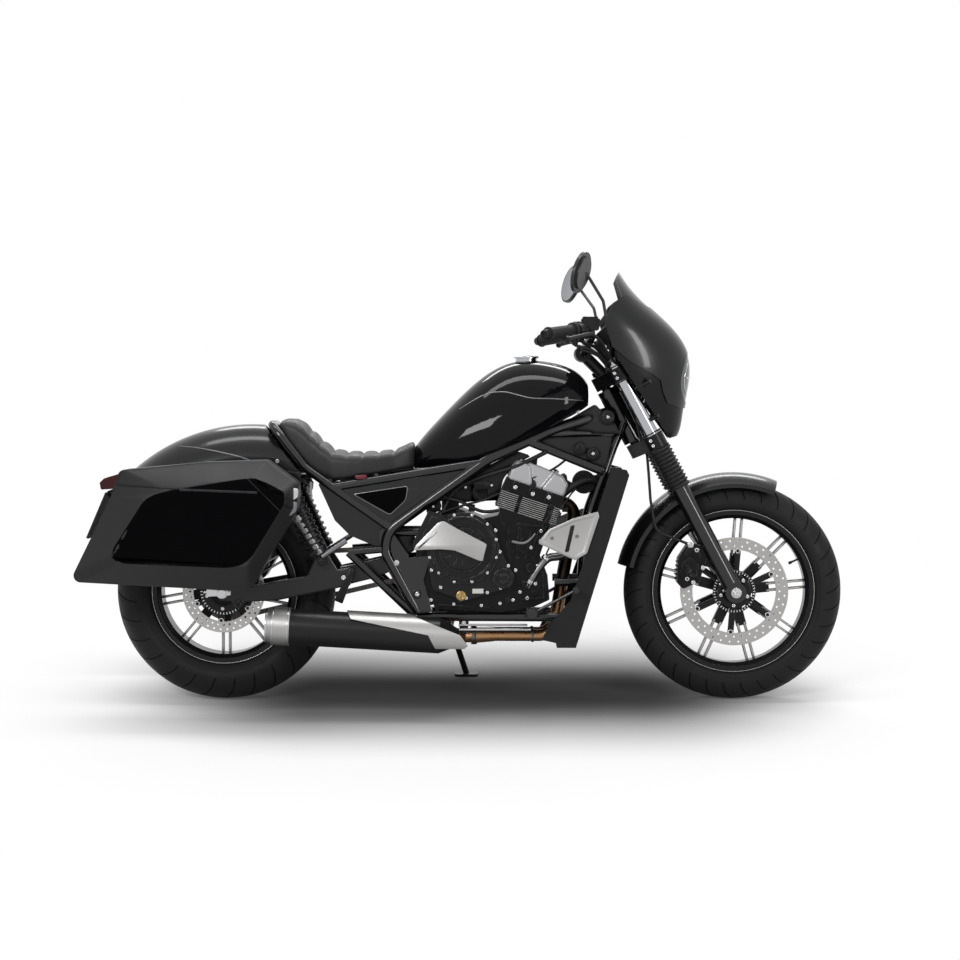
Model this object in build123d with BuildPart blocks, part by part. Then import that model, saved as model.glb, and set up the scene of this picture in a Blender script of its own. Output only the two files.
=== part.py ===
"""Cruiser motorcycle with hard side bags and a fork-mounted fairing, leaning on its side stand.

Millimetres. Every piece is drawn with the machine upright: +X forward, +Y to the rider's left, +Z up, origin on the
floor midway between the axles. write() then leans the finished piece about the floor line onto the side stand."""

import os
from math import atan2, cos, degrees, radians, sin, tan

from build123d import *

# ---------------------------------------------------------------- stance
lean = 9.0  # degrees, towards the side stand on the left
wheelbase = 1490.0
fit_gap = 0.3  # between curved faces that seat on each other
sides = (-1, 1)  # right, left

# ---------------------------------------------------------------- wheels
# The crown is one arc through the shoulders and the tread's middle.
front_tyre_radius = 320.0
front_tyre_half = 62.0
front_tyre_shoulder = 50.0  # how far the shoulders lie below the crown
front_rim_radius = 228.0
front_rim_half = 50.0
rear_tyre_radius = 321.0
rear_tyre_half = 89.0
rear_tyre_shoulder = 66.0
rear_rim_radius = 203.0
rear_rim_half = 68.0
rim_wall = 5.0
rim_lip = 11.0
rim_well = 16.0  # depth of the rim's barrel below its bead seat
sidewall_bulge = 4.0
spoke_count = 9
spoke_root_width = 30.0
spoke_root_radius = 108.0
spoke_width = 7.0
spoke_spread = 27.0  # between the two bars of a pair
spoke_depth = 24.0
front_spoke_phase = 5.0
rear_spoke_phase = -10.0
front_hub_radius = 34.0
rear_hub_radius = 42.0
front_hub_half = 50.0
rear_hub_half = 72.0
axle_radius = 10.0
axle_bore = 7.0
axle_gap = 0.05
front_axle_half = 150.0
rear_axle_half = 150.0

front_disc_radius = 158.0
front_disc_inner = 122.0
rear_disc_radius = 120.0
rear_disc_inner = 88.0
disc_thickness = 5.0
disc_arms = 6
disc_hole_radius = 3.0
disc_holes = 36
disc_bore = 24.0
front_disc_y = -70.0
rear_disc_y = -92.0

sprocket_radius = 94.0
sprocket_y = 103.0
sprocket_thickness = 6.0
sprocket_teeth = 42
chain_height = 14.0
chain_plate = 2.0
chain_gap = 1.5  # from the sprocket's face to the side plates
front_sprocket_radius = 38.0
front_sprocket_x = -150.0
front_sprocket_z = 405.0


def crown_radius(half_width, shoulder):
    return (half_width**2 + shoulder**2) / (2 * shoulder)


def axle_height(radius, crown):
    """Height at which a leaned tyre's crown touches the floor."""
    return radius - crown + crown / cos(radians(lean))


front_axle_x = wheelbase / 2
rear_axle_x = -wheelbase / 2
front_axle_z = axle_height(front_tyre_radius, crown_radius(front_tyre_half, front_tyre_shoulder))
rear_axle_z = axle_height(rear_tyre_radius, crown_radius(rear_tyre_half, rear_tyre_shoulder))

# ---------------------------------------------------------------- steering
rake = 28.0
fork_offset = 50.0  # fork legs ahead of the steering axis
fork_half = 110.0
fork_tube_radius = 20.5
slider_radius = 26.0
slider_top = 345.0  # distances up the fork leg from the axle
gaiter_radius = 36.0
gaiter_top = 474.0
gaiter_ribs = 9
lower_clamp_at = 478.0
upper_clamp_at = 700.0
clamp_height = 40.0
fork_top = 752.0
head_tube_radius = 30.0
stem_radius = 14.0
bearing_gap = 6.0  # between the head tube's ends and the clamps
steering_play = 0.3


# ---------------------------------------------------------------- helpers
def fork_point(up, forward=0.0, y=0.0):
    """A point up the fork leg from the axle, and forward of the leg at a right angle."""
    a = radians(rake)
    return (front_axle_x - up * sin(a) + forward * cos(a), y, front_axle_z + up * cos(a) + forward * sin(a))


def fork_plane(up, forward=0.0, y=0.0):
    """A plane square to the fork: normal up the leg, x forward, y to the left."""
    a = radians(rake)
    return Plane(origin=fork_point(up, forward, y), x_dir=(cos(a), 0, sin(a)), z_dir=(-sin(a), 0, cos(a)))


def side_plane(y):
    """The vertical plane at y, drawn with x forward and y up; extrusions run to the right."""
    return Plane.XZ.offset(-y)


def hub_plane(x, z, y):
    """A side plane whose origin is an axle."""
    return Plane(origin=(x, y, z), x_dir=(1, 0, 0), z_dir=(0, -1, 0))


def spin_plane(x, z):
    """The half plane through an axle: x to the left, y outwards from the axle."""
    return Plane(origin=(x, 0, z), x_dir=(0, 1, 0), z_dir=(1, 0, 0))


def outline_face(outline, plane, corner=0.0):
    with BuildSketch(plane) as face:
        with BuildLine():
            Polyline(*outline, close=True)
        make_face()
        if corner:
            fillet(face.vertices(), corner)
    return face.sketch


def slab(outline, y_left, y_right, corner=0.0, mode=Mode.ADD):
    """A plate with that side outline between two y values, its corners rounded."""
    extrude(outline_face(outline, side_plane(y_left), corner), amount=y_left - y_right, mode=mode)


def disc_slab(x, z, radius, y_left, y_right, mode=Mode.ADD):
    """A round plate or boss across the machine."""
    with BuildSketch(hub_plane(x, z, y_left)) as face:
        Circle(radius)
    extrude(face.sketch, amount=y_left - y_right, mode=mode)


def rod(start, end, radius, mode=Mode.ADD):
    """A straight round bar between two points."""
    run = Vector(*end) - Vector(*start)
    with BuildSketch(Plane(origin=start, z_dir=(run.X, run.Y, run.Z))) as face:
        Circle(radius)
    extrude(face.sketch, amount=run.length, mode=mode)


def bar(points, radius, bends, mode=Mode.ADD):
    """A round bar along straight runs joined by tangent arcs."""
    with BuildLine() as route:
        FilletPolyline(*points, radius=bends)
    with BuildSketch(Plane(origin=route.line @ 0, z_dir=route.line % 0)) as face:
        Circle(radius)
    sweep(sections=face.sketch, path=route.line, mode=mode)


def leg(up_from, up_to, radius, forward=0.0, y=0.0, mode=Mode.ADD):
    """A round bar along the fork."""
    with BuildSketch(fork_plane(up_from, forward, y)) as face:
        Circle(radius)
    extrude(face.sketch, amount=up_to - up_from, mode=mode)


def at_side(points, side):
    """The points of a route, moved to one side of the machine."""
    return [(x, side * y, z) for x, y, z in points]


def write(piece, name):
    """Leans the finished piece onto the stand and writes it."""
    leaned = Rot(-lean, 0, 0) * piece.part
    leaned.label = name
    export_step(leaned, f"parts/{name}.step")


os.makedirs("parts", exist_ok=True)


# ================================================================ wheels
def tyre_face(x, z, radius, half, shoulder, rim_radius, rim_half):
    """Half section of a tyre: beads on the rim, bulged sidewalls and a round crown."""
    foot = rim_half - rim_wall - fit_gap
    side = (half + rim_half) / 2 + sidewall_bulge
    mid = (radius - shoulder + rim_radius) / 2
    bead = rim_radius + fit_gap
    lip = rim_radius + rim_lip + fit_gap
    with BuildSketch(spin_plane(x, z)) as face:
        with BuildLine():
            ThreePointArc((-half, radius - shoulder), (0, radius), (half, radius - shoulder))
            ThreePointArc((half, radius - shoulder), (side, mid), (foot, lip))
            Line((foot, lip), (foot, bead))
            Line((foot, bead), (-foot, bead))
            Line((-foot, bead), (-foot, lip))
            ThreePointArc((-foot, lip), (-side, mid), (-half, radius - shoulder))
        make_face()
    return face.sketch


def rim_face(x, z, rim_radius, rim_half, hub_radius, hub_half):
    """Half section of a cast rim and its hub: two lips, two bead seats and a drop centre."""
    seat = rim_half - rim_wall
    well = seat - 22
    with BuildSketch(spin_plane(x, z)) as face:
        with BuildLine():
            Polyline(
                (-rim_half, rim_radius + rim_lip),
                (-seat, rim_radius + rim_lip),
                (-seat, rim_radius),
                (-well - 8, rim_radius),
                (-well, rim_radius - rim_well + rim_wall),
                (well, rim_radius - rim_well + rim_wall),
                (well + 8, rim_radius),
                (seat, rim_radius),
                (seat, rim_radius + rim_lip),
                (rim_half, rim_radius + rim_lip),
                (rim_half, rim_radius - rim_wall),
                (well + 12, rim_radius - rim_wall),
                (well + 4, rim_radius - rim_well),
                (-well - 4, rim_radius - rim_well),
                (-well - 12, rim_radius - rim_wall),
                (-rim_half, rim_radius - rim_wall),
                close=True,
            )
        make_face()
        with Locations((0, hub_radius / 2)):
            Rectangle(2 * hub_half, hub_radius)
    return face.sketch


# columns: name, axle x, axle z, tyre radius, tyre half width, shoulder, rim radius, rim half, hub radius, hub half,
# spoke phase
wheel_table = [
    ("front", front_axle_x, front_axle_z, front_tyre_radius, front_tyre_half, front_tyre_shoulder,
     front_rim_radius, front_rim_half, front_hub_radius, front_hub_half, front_spoke_phase),
    ("rear", rear_axle_x, rear_axle_z, rear_tyre_radius, rear_tyre_half, rear_tyre_shoulder,
     rear_rim_radius, rear_rim_half, rear_hub_radius, rear_hub_half, rear_spoke_phase),
]
for name, x, z, radius, half, shoulder, rim_radius, rim_half, hub_radius, hub_half, phase in wheel_table:
    spin = Axis((x, 0, z), (0, 1, 0))
    with BuildPart() as tyre:
        revolve(tyre_face(x, z, radius, half, shoulder, rim_radius, rim_half), axis=spin)
    write(tyre, f"{name}_tyre")

    barrel = rim_radius - rim_well + 1
    with BuildPart() as rim:
        revolve(rim_face(x, z, rim_radius, rim_half, hub_radius, hub_half), axis=spin)
        with BuildSketch(hub_plane(x, z, spoke_depth / 2)) as spokes:
            with PolarLocations((hub_radius - 2 + spoke_root_radius) / 2, spoke_count, start_angle=phase):
                Rectangle(spoke_root_radius - hub_radius + 2, spoke_root_width)
            for aside in (-spoke_spread / 2, spoke_spread / 2):
                for number in range(spoke_count):
                    with Locations(Rotation(0, 0, phase + number * 360 / spoke_count)):
                        with Locations(((spoke_root_radius - 12 + barrel) / 2, aside * 0.75)):
                            Rectangle(barrel - spoke_root_radius + 12, spoke_width)
        extrude(spokes.sketch, amount=spoke_depth)
        disc_slab(x, z, axle_radius + axle_gap, hub_half + 1, -hub_half - 1, mode=Mode.SUBTRACT)
    write(rim, f"{name}_rim")

# columns: name, axle x, axle z, middle y, radius, inner radius, hub radius, hub half
disc_table = [
    ("front_disc", front_axle_x, front_axle_z, front_disc_y, front_disc_radius, front_disc_inner,
     front_hub_radius, front_hub_half),
    ("rear_disc", rear_axle_x, rear_axle_z, rear_disc_y, rear_disc_radius, rear_disc_inner,
     rear_hub_radius, rear_hub_half),
]
for name, x, z, y, radius, inner, hub_radius, hub_half in disc_table:
    with BuildPart() as disc:
        with BuildSketch(hub_plane(x, z, y + disc_thickness / 2)) as face:
            Circle(radius)
            Circle(inner, mode=Mode.SUBTRACT)
            for row, share in enumerate((0.3, 0.72)):
                with PolarLocations(inner + share * (radius - inner), disc_holes, start_angle=row * 5):
                    Circle(disc_hole_radius, mode=Mode.SUBTRACT)
            Circle(hub_radius + 16)
            with PolarLocations((hub_radius + inner) / 2 + 5, disc_arms, start_angle=25):
                Rectangle(inner - hub_radius + 8, 18)
            Circle(disc_bore, mode=Mode.SUBTRACT)
        extrude(face.sketch, amount=disc_thickness)
        with BuildSketch(hub_plane(x, z, -hub_half)) as boss:
            Circle(hub_radius - 2)
            Circle(disc_bore, mode=Mode.SUBTRACT)
        extrude(boss.sketch, amount=-hub_half - y)
    write(disc, name)

with BuildPart() as rear_sprocket:
    tooth_pitch = 360 / sprocket_teeth
    with BuildSketch(hub_plane(rear_axle_x, rear_axle_z, sprocket_y + sprocket_thickness / 2)) as face:
        Circle(sprocket_radius - 5)
        with PolarLocations(sprocket_radius - 4, sprocket_teeth):
            Rectangle(9, 5)
        with PolarLocations(62, 6, start_angle=30):
            Circle(12, mode=Mode.SUBTRACT)
        Circle(disc_bore, mode=Mode.SUBTRACT)
    extrude(face.sketch, amount=sprocket_thickness)
    with BuildSketch(hub_plane(rear_axle_x, rear_axle_z, sprocket_y)) as boss:
        Circle(rear_hub_radius - 2)
        Circle(disc_bore, mode=Mode.SUBTRACT)
    extrude(boss.sketch, amount=sprocket_y - rear_hub_half)
write(rear_sprocket, "rear_sprocket")


# ================================================================ steering
lug_half = 27.0  # half width of the sliders' axle lugs
with BuildPart() as front_axle:
    disc_slab(front_axle_x, front_axle_z, axle_radius, front_axle_half, -front_axle_half)
    for side in sides:
        end = side * (fork_half + lug_half + 4)
        disc_slab(front_axle_x, front_axle_z, 15, end + 4, end - 4)
    disc_slab(front_axle_x, front_axle_z, axle_bore, front_axle_half, -front_axle_half, mode=Mode.SUBTRACT)
write(front_axle, "front_axle")

with BuildPart() as fork_sliders:
    for side in sides:
        leg(-6, slider_top, slider_radius, y=side * fork_half)
        disc_slab(front_axle_x, front_axle_z, 30, side * fork_half + lug_half, side * fork_half - lug_half)
    for side in sides:
        disc_slab(front_axle_x, front_axle_z, axle_radius, side * fork_half + 40, side * fork_half - 40,
                  mode=Mode.SUBTRACT)
write(fork_sliders, "fork_sliders")

with BuildPart() as fork_tubes:
    for side in sides:
        leg(slider_top, fork_top, fork_tube_radius, y=side * fork_half)
        leg(fork_top, fork_top + 8, 14, y=side * fork_half)
write(fork_tubes, "fork_tubes")

gaiter_pitch = (gaiter_top - slider_top) / gaiter_ribs
with BuildPart() as fork_gaiters:
    for side in sides:
        leg(slider_top, gaiter_top, gaiter_radius - 7, y=side * fork_half)
        for rib in range(gaiter_ribs):
            at = slider_top + rib * gaiter_pitch
            leg(at + 0.25 * gaiter_pitch, at + 0.75 * gaiter_pitch, gaiter_radius, y=side * fork_half)
        leg(slider_top - 1, gaiter_top + 1, fork_tube_radius, y=side * fork_half, mode=Mode.SUBTRACT)
write(fork_gaiters, "fork_gaiters")

bar_radius = 11.0
riser_half = 45.0
bar_seat = fork_point(upper_clamp_at + clamp_height + 80, -64)
with BuildPart() as triple_clamps:
    for at in (lower_clamp_at, upper_clamp_at):
        with BuildSketch(fork_plane(at)) as plate:
            # Three eyes, for the stem and the two legs, and the web around them.
            with Locations((-fork_offset, 0)):
                Circle(stem_radius + 14)
            with Locations((0, fork_half), (0, -fork_half)):
                Circle(fork_tube_radius + 10)
            make_hull()
        extrude(plate.sketch, amount=clamp_height)
    leg(lower_clamp_at, upper_clamp_at + clamp_height + 8, stem_radius, forward=-fork_offset)
    for at in (lower_clamp_at, upper_clamp_at):
        for side in sides:
            leg(at - 1, at + clamp_height + 1, fork_tube_radius, y=side * fork_half, mode=Mode.SUBTRACT)
    for side in sides:
        # The risers that carry the handlebar.
        rod(fork_point(upper_clamp_at + clamp_height - 4, -38, side * riser_half), (bar_seat[0], side * riser_half, bar_seat[2]), 16)
        disc_slab(bar_seat[0], bar_seat[2], 24, side * riser_half + 18, side * riser_half - 18)
    disc_slab(bar_seat[0], bar_seat[2], bar_radius, 80, -80, mode=Mode.SUBTRACT)
write(triple_clamps, "triple_clamps")

# The mudguard is one arch around the front axle.
fender_inner = 336.0
fender_wall = 5.0
fender_half = 80.0
fender_skirt = 303.0  # how near the axle the skirts reach
fender_front = 68.0  # degrees round from straight ahead
fender_rear = 167.0
with BuildPart() as front_fender:
    outer = fender_inner + fender_wall
    with BuildSketch(spin_plane(front_axle_x, front_axle_z)) as face:
        with BuildLine():
            Polyline((-fender_half, fender_skirt), (-fender_half, outer - 26))
            ThreePointArc((-fender_half, outer - 26), (0, outer + 6), (fender_half, outer - 26))
            Polyline((fender_half, outer - 26), (fender_half, fender_skirt),
                     (fender_half - 4, fender_skirt), (fender_half - 4, fender_inner - 26))
            ThreePointArc((fender_half - 4, fender_inner - 26), (0, fender_inner + 6), (-fender_half + 4, fender_inner - 26))
            Polyline((-fender_half + 4, fender_inner - 26), (-fender_half + 4, fender_skirt), (-fender_half, fender_skirt))
        make_face()
    ring = Axis((front_axle_x, 0, front_axle_z), (0, -1, 0))
    whole = Rot(0, 0, 0) * face.sketch
    turned = whole.rotate(ring, fender_front - 90)
    revolve(turned, axis=ring, revolution_arc=fender_rear - fender_front)
    for side in sides:
        # Struts to the sliders.
        for up, forward in ((309, -15), (309, 15)):
            rod(fork_point(up, forward, side * (fender_half - 3)), fork_point(up, forward, side * (fork_half - 8)), 7)
    add(fork_sliders.part, mode=Mode.SUBTRACT)
write(front_fender, "front_fender")

with BuildPart() as front_caliper:
    caliper_x, caliper_z = 622.0, 392.0
    body = [(574, 350), (592, 330), (640, 352), (662, 420), (650, 456), (606, 462), (578, 420)]
    slab(body, -50, -113, corner=8)
    disc_slab(front_axle_x, front_axle_z, front_disc_radius + 5, front_disc_y + 6, front_disc_y - 6, mode=Mode.SUBTRACT)
    lug = [(640, 400), (662, 395), (690, 390), (696, 412), (664, 450), (644, 440)]
    slab(lug, -84, -112)
    leg(-10, slider_top, slider_radius + fit_gap, y=-fork_half, mode=Mode.SUBTRACT)
write(front_caliper, "front_caliper")

with BuildPart() as brake_hose:
    bar([fork_point(477, -36, -70), fork_point(424, -60, -94), (497, -118, 590), (512, -122, 500), (596, -110, 466),
         (618, -102, 457)], 4, (20, 40, 40, 8))
    add(front_caliper.part, mode=Mode.SUBTRACT)
    add(triple_clamps.part, mode=Mode.SUBTRACT)
write(brake_hose, "brake_hose")

grip_radius = 17.0
with BuildPart() as handlebar:
    route = [(187, -428, 1063), (282, -300, 1078), (328, -150, 1066), (bar_seat[0], -80, bar_seat[2]),
             (bar_seat[0], 80, bar_seat[2]), (328, 150, 1066), (282, 300, 1078), (187, 428, 1063)]
    bar(route, bar_radius, (60, 50, 30, 30, 50, 60))
write(handlebar, "handlebar")

with BuildPart() as grips:
    for side in sides:
        rod((192.7, side * 420.3, 1063.9), (264.9, side * 323, 1075.3), grip_radius)
        rod((185.1, side * 430.6, 1062.7), (194.5, side * 417.9, 1064.2), 14)
    add(handlebar.part, mode=Mode.SUBTRACT)
write(grips, "grips")

with BuildPart() as switchgear:
    for side in sides:
        rod((269, side * 317.9, 1075.6), (292, side * 270, 1075), 23)
        rod((272, side * 300, 1052), (278, side * 296, 1100), 12)
        rod((298, side * 252, 1073), (306, side * 226, 1072), 18)
        # Fluid box and clamp ahead of the bar.
        slab([(290, 1078), (340, 1078), (344, 1112), (290, 1112)], side * 246 + 24, side * 246 - 24, corner=5)
        slab([(294, 1112.2), (338, 1112.2), (338, 1117), (294, 1117)], side * 246 + 21, side * 246 - 21, corner=2)
    # Levers ahead of the grips.
    for side in sides:
        bar([(322, side * 262, 1070), (318, side * 310, 1068), (246, side * 420, 1050)], 6, (20,))
        rod((304, side * 246, 1072), (324, side * 264, 1071), 9)
    add(handlebar.part, mode=Mode.SUBTRACT)
write(switchgear, "switchgear")

mirror_x, mirror_y, mirror_z = 290.0, 388.0, 1238.0
mirror_height, mirror_width = 59.0, 52.0
with BuildPart() as mirrors:
    for side in sides:
        bar([(334, side * 262, 1084), (358, side * 296, 1120), (350, side * 312, 1160), (302, side * 374, 1232)], 4.5, (12, 20))
        face_plane = Plane(origin=(mirror_x - 10, side * mirror_y, mirror_z), x_dir=(0.28, 0, 0.96),
                           z_dir=(-0.87, -side * 0.42, 0.25))
        with BuildSketch(face_plane) as back:
            Ellipse(mirror_height, mirror_width)
        extrude(back.sketch, amount=-9)
        with BuildSketch(face_plane.offset(-9)) as dome:
            Ellipse(mirror_height - 12, mirror_width - 12)
        extrude(dome.sketch, amount=-7)
        rod((302, side * 374, 1232), (286, side * 385, 1236), 8)
    add(switchgear.part, mode=Mode.SUBTRACT)
write(mirrors, "mirrors")

# Fairing: each plan section is half an ellipse from cheek to cheek. columns: z, nose x, rear half width
fairing_plan = [
    (740, 540, 104),
    (820, 600, 138),
    (910, 615, 160),
    (1000, 618, 172),
    (1060, 592, 173),
    (1120, 538, 168),
    (1185, 468, 154),
    (1285, 394, 128),
]
fairing_rear_x = 326.0
fairing_wall = 4.0
chin_gap = 0.5
screen_wall = 3.0


def fairing_body(inset):
    """The closed body whose skin is the fairing, drawn in by inset."""
    faces = []
    for z, nose, half in fairing_plan:
        with BuildSketch(Plane.XY.offset(z)) as face:
            with BuildLine():
                EllipticalCenterArc((fairing_rear_x, 0), nose - inset - fairing_rear_x, half - inset, start_angle=-90, arc_size=180)
                Line((fairing_rear_x, half - inset), (fairing_rear_x, inset - half))
            make_face()
        faces.append(face.sketch)
    return loft(faces, mode=Mode.PRIVATE)


fairing_side = [(384, 1156), (402, 1172), (428, 1186), (486, 1154), (700, 1100), (700, 850), (585, 857), (548, 870), (534, 902),
                (527, 936), (500, 956), (437, 990), (383, 1034), (361, 1104)]
chin_side = [(392, 1040), (520, 980), (560, 930), (700, 930), (700, 790), (604, 780), (556, 768), (540, 792), (399, 1000)]
screen_side = [(398, 1226), (410, 1258), (417, 1264), (520, 1160), (500, 1130), (440, 1150), (414, 1176)]
headlamp_z = 945.0
headlamp_radius = 72.0
fairing_outer = fairing_body(0)
fairing_inner = fairing_body(fairing_wall)
chin_outer = fairing_body(fairing_wall + chin_gap)
with BuildPart() as fairing:
    add(fairing_outer)
    add(fairing_inner, mode=Mode.SUBTRACT)
    extrude(outline_face(fairing_side, side_plane(260)), amount=520, mode=Mode.INTERSECT)
    with BuildSketch(Plane.YZ.offset(480)) as opening:
        with Locations((0, headlamp_z)):
            Circle(headlamp_radius + 2)
    extrude(opening.sketch, amount=200, mode=Mode.SUBTRACT)
    for side in sides:
        # Brackets to the fork tubes.
        rod(fork_point(660, 12, side * fork_half), fork_point(660, 66, side * 150), 6)
    add(fork_tubes.part, mode=Mode.SUBTRACT)
write(fairing, "fairing")

with BuildPart() as fairing_chin:
    add(chin_outer)
    add(fairing_body(2 * fairing_wall + chin_gap), mode=Mode.SUBTRACT)
    extrude(outline_face(chin_side, side_plane(260)), amount=520, mode=Mode.INTERSECT)
    with BuildSketch(Plane.YZ.offset(480)) as opening:
        with Locations((0, headlamp_z)):
            Circle(headlamp_radius + 2)
    extrude(opening.sketch, amount=200, mode=Mode.SUBTRACT)
    for side in sides:
        rod(fork_point(560, 12, side * fork_half), fork_point(560, 42, side * 131), 6)
    add(fork_tubes.part, mode=Mode.SUBTRACT)
    add(fairing.part, mode=Mode.SUBTRACT)
write(fairing_chin, "fairing_chin")

with BuildPart() as windscreen:
    add(chin_outer)
    add(fairing_body(fairing_wall + chin_gap + screen_wall), mode=Mode.SUBTRACT)
    extrude(outline_face(screen_side, side_plane(260)), amount=520, mode=Mode.INTERSECT)
    for side in sides:
        # Ears that reach the fairing's wall.
        slab([(462, 1144), (478, 1136), (482, 1150), (470, 1156)], side * 60 + 8, side * 60 - 8)
    add(fairing.part, mode=Mode.SUBTRACT)
write(windscreen, "windscreen")

with BuildPart() as headlamp:
    add(fairing_body(2.0))
    with BuildSketch(Plane.YZ.offset(530)) as lamp:
        with Locations((0, headlamp_z)):
            Circle(headlamp_radius)
    extrude(lamp.sketch, amount=200, mode=Mode.INTERSECT)
    rod((532, 0, headlamp_z), (480, 0, headlamp_z), 50)
    for side in sides:
        rod((510, side * 36, headlamp_z - 6), fork_point(600, 12, side * (fork_half - 12)), 7)
    add(fork_tubes.part, mode=Mode.SUBTRACT)
write(headlamp, "headlamp")

with BuildPart() as instrument:
    gauge = Plane(origin=(372, 0, 1096), x_dir=(0, 1, 0), z_dir=(-0.7, 0, 0.714))
    with BuildSketch(gauge) as dial:
        Circle(46)
    extrude(dial.sketch, amount=-38)
    rod((392, 0, 1072), fork_point(upper_clamp_at + clamp_height - 10, -20, 0), 8)
    add(triple_clamps.part, mode=Mode.SUBTRACT)
write(instrument, "instrument")


# ================================================================ frame
pivot_x, pivot_z = -240.0, 408.0
bag_inner = 205.0
shock_inner = 140.0
stand_pivot = (-90.0, 142.0, 214.0)
stand_axis = Vector(0.165, 0.8, 0.577).normalized()
stand_boss = 20.0
stand_pin = 6.0
spar_radius = 16.0
rail_radius = 12.5
spar_half = 132.0
cradle_half = 116.0
hoop_half = 128.0
# columns: radius, bend radii, route on the left side
frame_tubes = [
    (spar_radius, (120, 160, 80), [(372, 30, 842), (200, 88, 787), (20, spar_half, 707), (-294, spar_half, 481),
                                   (-180, cradle_half + 8, 262)]),
    (rail_radius, (40, 200, 60), [(424, 26, 812), (392, 52, 742), (318, cradle_half, 540), (296, cradle_half, 248),
                                 (-182, cradle_half, 250)]),
]
# columns: radius, start, end on the left side
frame_struts = [
    (13, (191, 88, 782), (414, 24, 779)),
    (13, (146, 104, 759), (362, 88, 671)),
    (rail_radius, (14, spar_half, 700), (-420, hoop_half, 628)),
    (11, (-186, cradle_half + 8, 252), (-380, hoop_half + 6, 438)),
    (10, (-275, spar_half, 447), (-380, hoop_half + 6, 438)),
    (11, (-480, hoop_half - 6, 664), (-860, 84, 664)),
]
# Short bars to what the frame carries. columns: radius, start, end on the left side
frame_mounts = [
    (8, (-560, 112, 664), (-560, bag_inner, 664)),
    (8, (-840, 84, 664), (-840, bag_inner, 664)),
    (8, (-620, 110, 664), (-620, 128, 440)),
    (8, (-620, 122, 440), (-620, bag_inner, 440)),
    (10, (90, 112, 735), (90, 112, 766)),
    (11, (296, cradle_half, 350), (218, cradle_half, 350)),
    (11, (-276, 100, 494), (-160, 100, 494)),
]
# columns: radius, start, end across the machine
cross_tubes = [
    (18, (pivot_x, -spar_half, pivot_z), (pivot_x, spar_half, pivot_z)),
    (14, (-276, -spar_half, 494), (-276, spar_half, 494)),
    (13, (-150, -cradle_half, 250), (-150, cradle_half, 250)),
    (13, (296, -cradle_half, 300), (296, cradle_half, 300)),
    (13, (-420, -hoop_half, 628), (-420, hoop_half, 628)),
    (11, (-846, -86, 664), (-846, 86, 664)),
]
seat_pad_x, seat_pad_top = -300.0, 666.2
shock_ear = [(-575, 672), (-515, 672), (-528, 602), (-562, 602)]
pivot_plate = [(-292, 500), (-262, 512), (-205, 430), (-200, 385), (-228, 320), (-262, 380), (-285, 440)]
heel_plate = [(-241, 420), (-137, 429), (-151, 395), (-162, 357), (-137, 266), (-190, 258), (-226, 340)]
with BuildPart() as frame:
    for side in sides:
        for radius, bends, route in frame_tubes:
            bar(at_side(route, side), radius, bends)
        for radius, start, end in frame_struts:
            rod(*at_side([start, end], side), radius)
        for radius, start, end in frame_mounts:
            rod(*at_side([start, end], side), radius)
        slab(pivot_plate, side * spar_half + 5, side * spar_half - 5)
        slab(heel_plate, side * (spar_half + 2) + 4, side * (spar_half + 2) - 4, corner=4)
        slab(shock_ear, max(side * 110, side * shock_inner), min(side * 110, side * shock_inner), corner=6)
    for radius, start, end in cross_tubes:
        rod(start, end, radius)
    # The hoop behind the seat.
    bar([(-262, -spar_half, 512), (-505, -hoop_half, 683), (-603, -112, 808), (-603, 112, 808), (-505, hoop_half, 683),
         (-262, spar_half, 512)], rail_radius, (80, 45, 45, 80))
    # Head tube.
    leg(lower_clamp_at + clamp_height + bearing_gap, upper_clamp_at - bearing_gap, head_tube_radius, forward=-fork_offset)
    leg(lower_clamp_at, upper_clamp_at, stem_radius + steering_play, forward=-fork_offset, mode=Mode.SUBTRACT)
    disc_slab(pivot_x, pivot_z, 8, 150, -150, mode=Mode.SUBTRACT)
    # Rubber pads under the seat.
    for side in sides:
        rod((seat_pad_x, side * 118, seat_pad_top - 26), (seat_pad_x, side * 118, seat_pad_top), 10)
    # The side stand's bracket and pin.
    pivot = Vector(*stand_pivot)
    inner_end = pivot - stand_axis * (stand_boss / 2 + 0.5)
    rod((stand_pivot[0], 110, 250), (stand_pivot[0] - 3, 113, 204), 9)
    rod((inner_end - stand_axis * 16), inner_end, 14)
    rod(inner_end, (pivot + stand_axis * (stand_boss / 2 + 4)), stand_pin)
write(frame, "frame")

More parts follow.
